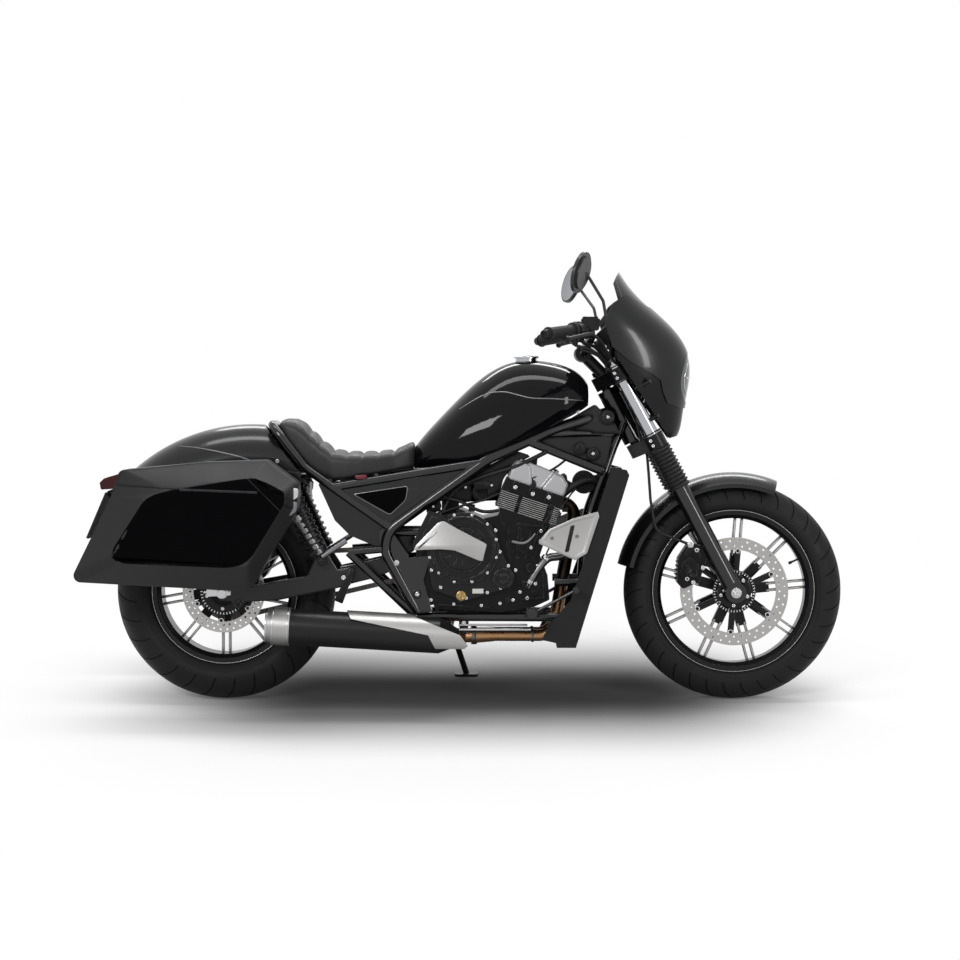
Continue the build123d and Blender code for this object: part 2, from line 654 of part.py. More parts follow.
# ================================================================ swingarm and rear axle
arm_inner = 118.0
arm_thickness = 24.0
yoke_inner = 60.0  # the forward part runs inside the frame and the chain
pivot_radius = 18.0
spool_x, spool_z = -697.0, 287.0
spool_thread = 4.0
arm_outline = [(-373, 394), (-660, 342), (-748, 344), (-772, 320), (-750, 298), (-682, 295), (-586, 299), (-373, 343)]
yoke_outline = [(-240, 428), (-410, 390), (-410, 335), (-300, 362), (-240, 388), (-222, 408)]
with BuildPart() as swingarm:
    for side in sides:
        inner = side * arm_inner
        outer = side * (arm_inner + arm_thickness)
        slab(arm_outline, max(inner, outer), min(inner, outer), corner=5)
        slab([(-500, 368), (-410, 384), (-438, 428), (-472, 428)], max(inner, outer), min(inner, outer), corner=5)
        inner = side * yoke_inner
        outer = side * (yoke_inner + arm_thickness)
        slab(yoke_outline, max(inner, outer), min(inner, outer), corner=5)
    slab([(-412, 387), (-412, 340), (-376, 346), (-376, 393)], arm_inner + 2, -arm_inner - 2, corner=4)
    disc_slab(rear_axle_x, rear_axle_z, axle_radius, 160, -160, mode=Mode.SUBTRACT)
    disc_slab(pivot_x, pivot_z, pivot_radius, 160, -160, mode=Mode.SUBTRACT)
    for side in sides:
        # Threaded spools for a paddock stand, on lugs below the arms.
        outer = side * (arm_inner + arm_thickness)
        lug = side * (arm_inner + arm_thickness - 10)
        slab([(-722, 306), (-676, 312), (-684, 276), (-708, 274)], max(lug, outer), min(lug, outer), corner=6)
        disc_slab(spool_x, spool_z, 11, outer + side * 12 if side > 0 else outer, outer if side > 0 else outer - 12)
        middle = side * (arm_inner + arm_thickness + 1)
        disc_slab(spool_x, spool_z, spool_thread, middle + 30, middle - 30, mode=Mode.SUBTRACT)
write(swingarm, "swingarm")

with BuildPart() as rear_axle:
    disc_slab(rear_axle_x, rear_axle_z, axle_radius, rear_axle_half, -rear_axle_half)
    for side in sides:
        middle = side * (arm_inner + arm_thickness + 5)
        disc_slab(rear_axle_x, rear_axle_z, 17, middle + 5, middle - 5)
        middle = side * 100
    disc_slab(rear_axle_x, rear_axle_z, axle_bore, rear_axle_half, -rear_axle_half, mode=Mode.SUBTRACT)
write(rear_axle, "rear_axle")

with BuildPart() as rear_caliper:
    slab([(-700, 390), (-640, 372), (-610, 400), (-640, 440), (-700, 440)], -76, -116, corner=6)
    disc_slab(rear_axle_x, rear_axle_z, rear_disc_radius + 4, rear_disc_y + 5, rear_disc_y - 5, mode=Mode.SUBTRACT)
    slab([(-700, 322), (-664, 322), (-640, 352), (-640, 395), (-700, 395)], -112, fit_gap - arm_inner)
write(rear_caliper, "rear_caliper")

shock_top = (-545.0, 620.0)
shock_foot = (-455.0, 412.0)
shock_y = 157.0
with BuildPart() as shock_absorbers:
    for side in sides:
        top = (shock_top[0], side * shock_y, shock_top[1])
        foot = (shock_foot[0], side * shock_y, shock_foot[1])
        run = Vector(*foot) - Vector(*top)
        rod(top, foot, 8)
        part_way = Vector(*top) + run * 0.12
        near_foot = Vector(*top) + run * 0.85
        rod((part_way.X, part_way.Y, part_way.Z), (near_foot.X, near_foot.Y, near_foot.Z), 23)
        near, far = side * shock_inner, side * 170
        disc_slab(top[0], top[2], 14, max(near, far), min(near, far))
        near = side * (arm_inner + arm_thickness)
        disc_slab(foot[0], foot[2], 14, max(near, far), min(near, far))
write(shock_absorbers, "shock_absorbers")

with BuildPart() as drive_chain:
    for y in (sprocket_y + sprocket_thickness / 2 + chain_gap + chain_plate, sprocket_y - sprocket_thickness / 2 - chain_gap):
        with BuildSketch(side_plane(y)) as loop:
            with Locations((rear_axle_x, rear_axle_z)):
                Circle(sprocket_radius + chain_height / 2)
            with Locations((front_sprocket_x, front_sprocket_z)):
                Circle(front_sprocket_radius + chain_height / 2)
            make_hull()
            with BuildSketch(side_plane(y), mode=Mode.PRIVATE) as hole:
                with Locations((rear_axle_x, rear_axle_z)):
                    Circle(sprocket_radius - chain_height / 2)
                with Locations((front_sprocket_x, front_sprocket_z)):
                    Circle(front_sprocket_radius - chain_height / 2)
                make_hull()
        extrude(loop.sketch, amount=chain_plate)
        extrude(hole.sketch, amount=chain_plate, mode=Mode.SUBTRACT)
    # Pins along the straight runs.
    reach = Vector(front_sprocket_x - rear_axle_x, front_sprocket_z - rear_axle_z)
    slope = atan2(reach.Y, reach.X)
    tilt = atan2(sprocket_radius - front_sprocket_radius, reach.length)
    for turn, up in ((slope - tilt, 1), (slope + tilt, -1)):
        for number in range(22):
            along = 60 + number * 22
            x = rear_axle_x - up * sprocket_radius * sin(turn) + along * cos(turn)
            z = rear_axle_z + up * sprocket_radius * cos(turn) + along * sin(turn)
            disc_slab(x, z, 4, sprocket_y + 4.6, sprocket_y - 4.6)
write(drive_chain, "drive_chain")

# ================================================================ engine
engine_lean = 18.0
engine_x, engine_z = 130.0, 545.0  # the middle of the barrel's foot


def engine_plane(y):
    """A side plane leaning with the cylinders: x forward along the fins, y up the bores."""
    a = radians(engine_lean)
    return Plane(origin=(engine_x, y, engine_z), x_dir=(cos(a), 0, -sin(a)), z_dir=(0, -1, 0))


def engine_slab(outline, half, corner=0.0):
    extrude(outline_face(outline, engine_plane(half), corner), amount=2 * half)


fin_count = 9
fin_thickness = 2.6
fin_pitch = 5.8
crankcase_outline = [(-185, 420), (-172, 500), (-124, 540), (-50, 560), (10, 536), (52, 545), (66, 566), (206, 520), (176, 430),
                     (198, 372), (204, 300), (160, 280), (55, 264), (-120, 274), (-160, 330)]
with BuildPart() as engine_crankcase:
    slab(crankcase_outline, 128, -128, corner=6)
    # Ribs down the block's sides, below the barrels.
    for along in (-40, -4, 32, 64):
        slab([(118 + along, 510), (126 + along, 508), (118 + along * 0.7, 420), (110 + along * 0.7, 422)], 134, -134)
    # Sump.
    slab([(-110, 300), (150, 300), (128, 262), (-96, 262)], 96, -96, corner=6)
    # Throttle bodies behind the barrels.
    for side in sides:
        rod((60, side * 45, 610), (-30, side * 45, 606), 24)
        rod((4, side * 45, 606), (4, side * 45, 640), 12)
    slab([(-140, 586), (-24, 582), (-24, 634), (-120, 640)], 84, -84, corner=8)
    slab([(-110, 520), (-60, 520), (-60, 600), (-110, 600)], 60, -60)
    # Room for the chain and its front sprocket.
    slab([(-200, 340), (-95, 340), (-95, 470), (-200, 470)], 141, 90, mode=Mode.SUBTRACT)
    # The front sprocket, inside the chain's loop.
    disc_slab(front_sprocket_x, front_sprocket_z, front_sprocket_radius - chain_height / 2 - fit_gap, sprocket_y + 8, 88)
    add(frame.part, mode=Mode.SUBTRACT)
write(engine_crankcase, "engine_crankcase")

with BuildPart() as engine_barrel:
    engine_slab([(-74, -12), (78, -12), (82, 52), (-76, 52)], 112)
    for number in range(fin_count):
        low = 1 + number * fin_pitch
        engine_slab([(-88, low), (96, low), (96, low + fin_thickness), (-88, low + fin_thickness)], 124)
    engine_slab([(-84, 52), (94, 52), (96, 88), (-80, 88)], 120)
    # Bolt towers between the fins and lugs on the head.
    for along in (-62, 70):
        engine_slab([(along - 7, -10), (along + 7, -10), (along + 7, 54), (along - 7, 54)], 122)
    for along in (-50, 0, 52):
        engine_slab([(along - 9, 58), (along + 9, 58), (along + 7, 84), (along - 7, 84)], 125)
    add(engine_crankcase.part, mode=Mode.SUBTRACT)
    slab(crankcase_outline, 128, -128, corner=6, mode=Mode.SUBTRACT)
write(engine_barrel, "engine_barrel")

with BuildPart() as engine_head_cover:
    engine_slab([(-80, 88), (96, 88), (95, 124), (72, 143), (30, 146), (-46, 152), (-68, 146), (-80, 124)], 112, corner=9)
    # Raised shells on the two sides, with a valley between them.
    engine_slab([(-76, 88), (-4, 88), (-26, 140), (-50, 147), (-66, 141), (-76, 122)], 120, corner=7)
    engine_slab([(22, 88), (93, 88), (92, 122), (70, 139), (44, 141)], 120, corner=7)
write(engine_head_cover, "engine_head_cover")

clutch_x, clutch_z, clutch_radius = -47.0, 451.0, 104.0
with BuildPart() as clutch_cover:
    disc_slab(clutch_x, clutch_z, clutch_radius, -128, -162)
    disc_slab(clutch_x, clutch_z, clutch_radius - 10, -162, -168)
    disc_slab(clutch_x, clutch_z, clutch_radius - 18, -160, -169, mode=Mode.SUBTRACT)
    disc_slab(clutch_x, clutch_z, 60, -158, -166)
    disc_slab(clutch_x, clutch_z, 30, -158, -170)
    slab([(-150, 400), (-132, 330), (-40, 300), (60, 330), (104, 364), (74, 420), (40, 500), (-60, 480)], -128, -150, corner=10)
    disc_slab(71, 364, 30, -140, -160)
    disc_slab(71, 364, 22, -158, -161, mode=Mode.SUBTRACT)
    disc_slab(71, 364, 14, -156, -164)
    disc_slab(-53, 312, 15, -140, -156)
    add(frame.part, mode=Mode.SUBTRACT)
write(clutch_cover, "clutch_cover")

with BuildPart() as clutch_plate:
    slab([(-191, 455), (-190, 472), (-147, 560), (-112, 553), (-70, 514), (25, 466), (11, 416), (-12, 418), (-72, 450),
          (-118, 450)], -170.5, -184, corner=4)
    slab([(-176, 462), (-138, 544), (-116, 540), (-76, 504), (10, 460), (2, 430), (-66, 462), (-118, 462)], -184, -187, corner=4)
write(clutch_plate, "clutch_plate")

with BuildPart() as alternator_cover:
    disc_slab(50, 400, 88, 166, 128)
    disc_slab(50, 400, 60, 172, 160)
    slab([(-190, 350), (-190, 450), (-120, 470), (-60, 440), (-60, 350)], 162, 128, corner=10)
    add(engine_crankcase.part, mode=Mode.SUBTRACT)
    add(frame.part, mode=Mode.SUBTRACT)
write(alternator_cover, "alternator_cover")

# ================================================================ cooling
with BuildPart() as radiator_core:
    slab([(311, 350), (331, 344), (424, 650), (392, 662)], 102, -102)
    for side in sides:
        rod((330, side * 96, 420), (306, side * 100, 430), 6)
    add(frame.part, mode=Mode.SUBTRACT)
write(radiator_core, "radiator_core")

shroud_half = 205.0
shroud_wall = 5.0
shroud_outline = [(381, 689), (341, 568), (306, 430), (262, 304), (198, 230), (180, 190), (220, 181), (223, 167), (278, 167),
                  (431, 664), (424, 678)]
with BuildPart() as radiator_shroud:
    for side in sides:
        outer = side * shroud_half
        inner = side * (shroud_half - shroud_wall)
        slab(shroud_outline, max(outer, inner), min(outer, inner), corner=2)
        middle = side * (shroud_half + 103) / 2
        half = (shroud_half - 103) / 2
        slab([(278, 167), (272, 167), (420, 664), (431, 664)], middle + half, middle - half)
        slab([(392, 664), (431, 664), (424, 678), (384, 678)], middle + half, middle - half)
    slab([(226, 167), (278, 167), (280, 173), (228, 173)], shroud_half, -shroud_half)
    add(frame.part, mode=Mode.SUBTRACT)
write(radiator_shroud, "radiator_shroud")

with BuildPart() as radiator_plates:
    for side in sides:
        near = side * (shroud_half + 0.5)
        far = side * (shroud_half + 10)
        slab([(341, 560), (344, 546), (309, 440), (275, 420), (171, 468), (171, 476), (200, 509), (269, 540)],
             max(near, far), min(near, far), corner=3)
        slab([(258, 512), (268, 512), (256, 450), (246, 450)], max(near, far) + 1, min(near, far) - 1, mode=Mode.SUBTRACT)
write(radiator_plates, "radiator_plates")

# ================================================================ exhaust
header_radius = 17.0
muffler_y = 215.0
muffler_radius = 54.0
muffler_axis = (1, 0, -0.058)
tip_length = 70.0


def muffler_ring(x, y, z, radius):
    with BuildSketch(Plane(origin=(x, y, z), z_dir=muffler_axis)) as ring:
        Circle(radius)
    return ring.sketch


def collector_ring(x, y, width, height):
    with BuildSketch(Plane(origin=(x, y, 190), x_dir=(0, 1, 0), z_dir=(-1, 0, 0))) as ring:
        SlotOverall(width, height)
    return ring.sketch


with BuildPart() as exhaust_header:
    for side in sides:
        bar([(237, side * 45, 584), (282, side * 45, 565), (244, side * 48, 350), (216, side * 50, 190),
             (40, side * 45, 190)], header_radius, (36, 80, 50))
    loft([collector_ring(44, 0, 124, 36), collector_ring(-10, -40, 70, 44)])
    bar([(-8, -40, 190), (-60, -60, 190), (-90, -190, 196)], 21, (30,))
    add(engine_crankcase.part, mode=Mode.SUBTRACT)
    add(engine_barrel.part, mode=Mode.SUBTRACT)
    extrude(muffler_ring(-613, -muffler_y, 233, muffler_radius), amount=500, mode=Mode.SUBTRACT)
    loft([muffler_ring(-115, -muffler_y, 204, muffler_radius - 2), muffler_ring(-60, -muffler_y + 24, 196, 24)],
         mode=Mode.SUBTRACT)
write(exhaust_header, "exhaust_header")

with BuildPart() as muffler:
    extrude(muffler_ring(-613, -muffler_y, 233, muffler_radius - 2), amount=500)
    loft([muffler_ring(-115, -muffler_y, 204, muffler_radius - 2), muffler_ring(-60, -muffler_y + 24, 196, 24)])
    extrude(muffler_ring(-613, -muffler_y, 233, muffler_radius + 8), amount=tip_length, mode=Mode.SUBTRACT)
write(muffler, "muffler")

with BuildPart() as muffler_tip:
    extrude(muffler_ring(-613, -muffler_y, 233, muffler_radius - 6), amount=tip_length - fit_gap)
    extrude(muffler_ring(-596, -muffler_y, 232.01, muffler_radius + 1), amount=tip_length - 17 - fit_gap)
    extrude(muffler_ring(-614, -muffler_y, 233.06, muffler_radius - 12), amount=tip_length - 12, mode=Mode.SUBTRACT)
write(muffler_tip, "muffler_tip")

shield_outline = [(-387, 289), (-367, 255), (-146, 209), (-126, 169), (-43, 169), (-32, 178), (-55, 209), (-238, 281)]
with BuildPart() as muffler_shield:
    extrude(muffler_ring(-613, -muffler_y, 233, muffler_radius + 3), amount=600)
    extrude(muffler_ring(-613, -muffler_y, 233, muffler_radius - 2), amount=600, mode=Mode.SUBTRACT)
    extrude(outline_face(shield_outline, side_plane(-muffler_y + 10), 3), amount=100, mode=Mode.INTERSECT)
write(muffler_shield, "muffler_shield")

# ================================================================ tank, seat and tail
# columns: x, floor z, widest z, top z, floor half width, half width
tank_sections = [
    (-190, 680, 700, 740, 52, 70),
    (-130, 686, 724, 812, 90, 108),
    (-40, 702, 756, 904, 122, 140),
    (60, 732, 790, 977, 128, 155),
    (160, 778, 834, 996, 116, 155),
    (250, 824, 868, 980, 92, 136),
    (318, 864, 888, 928, 50, 84),
]
with BuildPart() as fuel_tank:
    for x, floor_z, wide_z, top_z, floor_half, half in tank_sections:
        with BuildSketch(Plane(origin=(x, 0, 0), x_dir=(0, 1, 0), z_dir=(1, 0, 0))):
            with BuildLine():
                EllipticalCenterArc((0, wide_z), half, top_z - wide_z, start_angle=0, arc_size=180)
                ThreePointArc((-half, wide_z), (-half + 0.35 * (half - floor_half), (floor_z + wide_z) / 2 - 4),
                              (-floor_half, floor_z))
                Line((-floor_half, floor_z), (floor_half, floor_z))
                ThreePointArc((floor_half, floor_z), (half - 0.35 * (half - floor_half), (floor_z + wide_z) / 2 - 4),
                              (half, wide_z))
            make_face()
    loft()
    add(frame.part, mode=Mode.SUBTRACT)
write(fuel_tank, "fuel_tank")

with BuildPart() as tank_cap:
    rod((138, 0, 985), (138, 0, 1002), 31)
    rod((138, 0, 1002), (138, 0, 1006), 37)
    add(fuel_tank.part, mode=Mode.SUBTRACT)
write(tank_cap, "tank_cap")

with BuildPart() as seat:
    slab([(-583, 821), (-560, 826), (-525, 821), (-501, 806), (-469, 773), (-428, 736), (-386, 731), (-239, 731),
          (-200, 752), (-194, 740), (-204, 684), (-425, 648), (-500, 706)], 128, -128)
    for x_end, half in ((-420, 106),):
        slab([(-620, 660), (-440, 660), (-440, 840), (-620, 840)], 200, 100, mode=Mode.SUBTRACT)
        slab([(-620, 660), (-440, 660), (-440, 840), (-620, 840)], -100, -200, mode=Mode.SUBTRACT)
write(seat, "seat")

cowl_x, cowl_z, cowl_radius = -666.0, 283.0, 526.0
cowl_half = 120.0
cowl_wall = 4.0
cowl_drop = 92.0  # from the crown to where the skirts begin
skirt_height = 46.0
skirt_top = cowl_radius - cowl_drop
skirt_foot = skirt_top - skirt_height
cowl_top = cowl_z + cowl_radius
cowl_end = 134.0  # degrees round from straight ahead
cowl_tail_x = cowl_x + cowl_radius * cos(radians(cowl_end))
cowl_tail_z = cowl_z + cowl_radius * sin(radians(cowl_end))
with BuildPart() as tail_cowl:
    with BuildSketch(spin_plane(cowl_x, cowl_z)) as arch:
        with BuildLine():
            ThreePointArc((-cowl_half, skirt_top), (0, cowl_radius), (cowl_half, skirt_top))
            Polyline((cowl_half, skirt_top), (cowl_half, skirt_foot), (cowl_half - cowl_wall, skirt_foot),
                     (cowl_half - cowl_wall, skirt_top))
            ThreePointArc((cowl_half - cowl_wall, skirt_top), (0, cowl_radius - cowl_wall), (cowl_wall - cowl_half, skirt_top))
            Polyline((cowl_wall - cowl_half, skirt_top), (cowl_wall - cowl_half, skirt_foot), (-cowl_half, skirt_foot),
                     (-cowl_half, skirt_top))
        make_face()
    ring = Axis((cowl_x, 0, cowl_z), (0, -1, 0))
    start = arch.sketch.rotate(ring, 64 - 90)
    revolve(start, axis=ring, revolution_arc=cowl_end - 64)
    # The front edge follows the hoop.
    slab([(-664, cowl_top + 60), (-664, cowl_top + 41), (-468, 600), (-300, 600), (-300, cowl_top + 60)], 140, -140,
         mode=Mode.SUBTRACT)
    add(frame.part, mode=Mode.SUBTRACT)
    add(shock_absorbers.part, mode=Mode.SUBTRACT)
write(tail_cowl, "tail_cowl")

rear_fender_inner = 338.0
with BuildPart() as rear_fender:
    with BuildSketch(spin_plane(rear_axle_x, rear_axle_z)) as arch:
        with BuildLine():
            ThreePointArc((-100, rear_fender_inner - 30), (0, rear_fender_inner + 4), (100, rear_fender_inner - 30))
            Line((100, rear_fender_inner - 30), (96, rear_fender_inner - 32))
            ThreePointArc((96, rear_fender_inner - 32), (0, rear_fender_inner), (-96, rear_fender_inner - 32))
            Line((-96, rear_fender_inner - 32), (-100, rear_fender_inner - 30))
        make_face()
    ring = Axis((rear_axle_x, 0, rear_axle_z), (0, -1, 0))
    start = arch.sketch.rotate(ring, 62 - 90)
    revolve(start, axis=ring, revolution_arc=98)
    slab([(-858, 636), (-834, 642), (-834, 662), (-858, 662)], 40, -40)
    add(frame.part, mode=Mode.SUBTRACT)
write(rear_fender, "rear_fender")

with BuildPart() as tail_lamp:
    lamp = [(-81, -24), (-68, -11), (-9, 7), (31, 7), (31, -21), (-27, -41), (-77, -44)]
    slab([(cowl_tail_x + x, cowl_tail_z + z) for x, z in lamp], 48, -48, corner=5)
    add(tail_cowl.part, mode=Mode.SUBTRACT)
write(tail_lamp, "tail_lamp")

with BuildPart() as plate_holder:
    board = [(-115, -183), (-59, -51), (-53, -54), (-109, -186)]
    tongue = [(-61, -49), (-29, -37), (31, -17), (31, -61), (-53, -71)]
    slab([(cowl_tail_x + x, cowl_tail_z + z) for x, z in board], 90, -90)
    slab([(cowl_tail_x + x, cowl_tail_z + z) for x, z in tongue], 30, -30)
    add(tail_lamp.part, mode=Mode.SUBTRACT)
write(plate_holder, "plate_holder")

# ================================================================ side bags
bag_shoulder = 335.0
bag_outer = 394.0
bag_wall = 4.0
# matched corners of the bag's outline and of the flat panel on its outer face
bag_outline = [(-1158, 366), (-1040, 607), (-1016, 682), (-780, 704), (-602, 710), (-512, 644), (-514, 570), (-652, 338)]
bag_panel = [(-1040, 424), (-938, 604), (-878, 626), (-760, 646), (-632, 661), (-546, 620), (-546, 590), (-652, 412)]
bag_corner = 20.0
seam_line = [(-1250, 640), (-1032, 640), (-849, 629), (-610, 620), (-525, 571), (-440, 522)]
seam_gap = 1.0
hinge_radius = 3.5
hinge_out = 2.0  # the hinge line lies this far outside the bag
# columns: start and end along the seam's middle stretch, which half carries the barrel
hinge_barrels = [(-840, -806, "saddlebag"), (-805, -656, "bag_lid"), (-655, -622, "saddlebag")]


def hinge_point(side, x):
    """A point on a lid's hinge line, above or below the seam's middle stretch."""
    (x_rear, z_rear), (x_front, z_front) = seam_line[2], seam_line[3]
    z = z_rear + (x - x_rear) * (z_front - z_rear) / (x_front - x_rear)
    return (x, side * (bag_outer + hinge_out), z)


def bag_body(side, inset):
    """The closed body whose skin is a bag's wall, drawn in by inset."""
    def flat(outline, y, shrink):
        with BuildSketch(side_plane(side * y)) as face:
            with BuildLine():
                Polyline(*outline, close=True)
            make_face()
            if shrink:
                offset(amount=-shrink, mode=Mode.REPLACE, kind=Kind.INTERSECTION)
            fillet(face.vertices(), bag_corner - shrink)
        return face.sketch
    root = flat(bag_outline, bag_inner + inset, inset)
    shoulder = flat(bag_outline, bag_shoulder, inset)
    crown = flat(bag_panel, bag_outer - inset, inset)
    return (loft([root, shoulder], ruled=True, mode=Mode.PRIVATE) + loft([shoulder, crown], ruled=True, mode=Mode.PRIVATE))


for side, name in ((-1, "right"), (1, "left")):
    outer_body = bag_body(side, 0)
    inner_body = bag_body(side, bag_wall)
    below = [(x, z - seam_gap / 2) for x, z in seam_line] + [(-440, 200), (-1250, 200)]
    above = [(x, z + seam_gap / 2) for x, z in seam_line] + [(-440, 800), (-1250, 800)]
    for half_name, region in (("saddlebag", below), ("bag_lid", above)):
        with BuildPart() as half:
            add(outer_body)
            add(inner_body, mode=Mode.SUBTRACT)
            extrude(outline_face(region, side_plane(500)), amount=1000, mode=Mode.INTERSECT)
            for start, end, owner in hinge_barrels:
                first = hinge_point(side, start)
                last = hinge_point(side, end)
                rod(first, last, hinge_radius if owner == half_name else hinge_radius + fit_gap,
                    mode=Mode.ADD if owner == half_name else Mode.SUBTRACT)
        write(half, f"{half_name}_{name}")

# ================================================================ small pieces on the frame
with BuildPart() as side_covers:
    for side in sides:
        near = side * (spar_half + 2)
        far = side * (spar_half + 8)
        slab([(-404, 618), (-200, 652), (-40, 678), (-62, 650), (-249, 506), (-290, 540)], max(near, far), min(near, far), corner=3)
        raised = side * (spar_half + 11)
        slab([(-340, 600), (-200, 622), (-152, 628), (-168, 606), (-248, 548), (-288, 564)], max(far, raised), min(far, raised),
             corner=8)
        # Panel below the hoop tube.
        near = side * (hoop_half - 16)
        far = side * (hoop_half - 21)
        slab([(-470, 640), (-425, 628), (-270, 500), (-290, 450), (-376, 486), (-420, 530)], max(near, far), min(near, far),
             corner=4)
    add(frame.part, mode=Mode.SUBTRACT)
write(side_covers, "side_covers")

with BuildPart() as head_panels:
    for side in sides:
        slab([(200, 782), (247, 812), (340, 866), (400, 806), (412, 782)], max(side * 58, side * 62), min(side * 58, side * 62))
        disc_slab(375, 830, 20, max(side * 54, side * 74), min(side * 54, side * 74))
        slab([(150, 770), (388, 774), (366, 664)], max(side * 84, side * 88), min(side * 84, side * 88))
        disc_slab(293, 739, 16, max(side * 86, side * 104), min(side * 86, side * 104))
        disc_slab(331, 724, 18, max(side * 86, side * 98), min(side * 86, side * 98))
    add(frame.part, mode=Mode.SUBTRACT)
write(head_panels, "head_panels")

with BuildPart() as foot_controls:
    for side in sides:
        y = side * 170
        rod((154, side * (cradle_half + 8), 262), (154, side * 205, 268), 11)
        rod((154, side * 205, 268), (150, side * 300, 272), 14)
        rod((154, side * 222, 268), (276, side * 240, 336), 5)
        rod((276, side * 228, 336), (276, side * 290, 338), 8)
    add(frame.part, mode=Mode.SUBTRACT)
write(foot_controls, "foot_controls")

with BuildPart() as horn:
    rod((306, -30, 640), (306, -62, 640), 34)
    rod((306, -48, 655), (358, -78, 655), 6)
    add(frame.part, mode=Mode.SUBTRACT)
write(horn, "horn")

# ================================================================ side stand
stand_foot_y = 262.0
stand_foot_x = -40.0
with BuildPart() as side_stand:
    foot_z = stand_foot_y * tan(radians(lean))
    rod(stand_pivot, (stand_foot_x, stand_foot_y - 4, foot_z + 8), 9)
    with BuildSketch(Plane(origin=(stand_foot_x, stand_foot_y, foot_z), x_dir=(1, 0, 0),
                           z_dir=(0, -sin(radians(lean)), cos(radians(lean))))) as pad:
        RectangleRounded(70, 44, 12)
    extrude(pad.sketch, amount=8)
    start = Vector(*stand_pivot) - stand_axis * (stand_boss / 2)
    end = Vector(*stand_pivot) + stand_axis * (stand_boss / 2)
    rod(start, end, 15)
    rod(start, end, stand_pin + axle_gap, mode=Mode.SUBTRACT)
write(side_stand, "side_stand")
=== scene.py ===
import math

import bmesh
import bpy
from mathutils import Matrix, Vector


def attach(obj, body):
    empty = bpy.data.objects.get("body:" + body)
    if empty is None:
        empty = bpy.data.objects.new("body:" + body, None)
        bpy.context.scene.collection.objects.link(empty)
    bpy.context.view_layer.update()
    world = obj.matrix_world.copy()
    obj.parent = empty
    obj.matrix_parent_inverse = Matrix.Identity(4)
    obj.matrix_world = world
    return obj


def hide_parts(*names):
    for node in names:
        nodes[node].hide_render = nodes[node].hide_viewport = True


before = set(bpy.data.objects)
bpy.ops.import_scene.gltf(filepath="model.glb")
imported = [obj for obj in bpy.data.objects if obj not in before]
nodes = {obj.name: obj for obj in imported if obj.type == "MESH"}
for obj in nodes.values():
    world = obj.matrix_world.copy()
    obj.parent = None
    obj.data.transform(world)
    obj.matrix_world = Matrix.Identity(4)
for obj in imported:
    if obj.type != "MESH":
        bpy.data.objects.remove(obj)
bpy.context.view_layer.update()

# Tables of outlines and places are in millimetres with the machine upright: x forward, y left, z up.
MM = 0.001
LEAN_DEGREES = 9                # the motorcycle rests on its side stand
LEAN = math.radians(LEAN_DEGREES)
RAKE = math.radians(28)         # the fork leans back by this
FORK_HALF = 110                 # half the distance between the fork legs
FRONT_X, FRONT_Z = 745.0, 320.5
REAR_X, REAR_Z = -745.0, 322.0
SIDES = (-1, 1)
HANDS = ((-1, "right"), (1, "left"))


def leaned(x, y, z):
    """A point of the upright machine, in metres, leaned over with it."""
    return Vector((x, y * math.cos(LEAN) + z * math.sin(LEAN), z * math.cos(LEAN) - y * math.sin(LEAN))) * MM


# ---------------------------------------------------------------- hand tools

def let_go():
    """Leave edit mode and select nothing."""
    if bpy.context.object and bpy.context.object.mode != "OBJECT":
        bpy.ops.object.mode_set(mode="OBJECT")
    bpy.ops.object.select_all(action="DESELECT")


def take(*pieces):
    """Select only these pieces, the first one active."""
    let_go()
    for piece in pieces:
        piece.select_set(True)
    bpy.context.view_layer.objects.active = pieces[0]
    return pieces[0]


def settle(piece):
    """Put the piece's place into its mesh, leaned over with the motorcycle."""
    take(piece)
    bpy.ops.object.transform_apply(location=True, rotation=True, scale=True)
    piece.rotation_euler = (-LEAN, 0, 0)
    bpy.ops.object.transform_apply(location=True, rotation=True, scale=True)
    return piece


def modify(piece, kind, **settings):
    """Add one modifier and apply it."""
    take(piece)
    modifier = piece.modifiers.new(kind.lower(), kind)
    for name, value in settings.items():
        setattr(modifier, name, value)
    bpy.ops.object.modifier_apply(modifier=modifier.name)
    return piece


def smooth(piece, degrees=35):
    take(piece)
    bpy.ops.object.shade_smooth_by_angle(angle=math.radians(degrees))
    return piece


def finish_piece(piece, name, body, finish, degrees=35):
    """Name, material, smooth shading and the body that the piece moves with."""
    piece.name = name
    piece.data.name = name
    piece.data.materials.clear()
    piece.data.materials.append(finish)
    smooth(piece, degrees)
    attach(piece, body)
    return piece


# ---------------------------------------------------------------- finishes

def new_group(name, inputs, outputs):
    """A shader node group with named sockets."""
    group = bpy.data.node_groups.new(name, "ShaderNodeTree")
    for kind, label, value in inputs:
        socket = group.interface.new_socket(name=label, in_out="INPUT", socket_type=kind)
        if value is not None:
            socket.default_value = value
    for kind, label in outputs:
        group.interface.new_socket(name=label, in_out="OUTPUT", socket_type=kind)
    return group, group.nodes.new("NodeGroupInput"), group.nodes.new("NodeGroupOutput")


def set_inputs(node, values):
    for label, value in values.items():
        node.inputs[label].default_value = value


def add_node(tree, kind, values=None, **settings):
    """A shader node with its settings and the values on its inputs."""
    node = tree.nodes.new("ShaderNode" + kind)
    for label, value in settings.items():
        setattr(node, label, value)
    set_inputs(node, values or {})
    return node


def feed(tree, source, output, target, socket):
    """Wire one output of a node to an input of another."""
    tree.links.new(source.outputs[output], target.inputs[socket])


FLOAT = "NodeSocketFloat"
VECTOR = "NodeSocketVector"


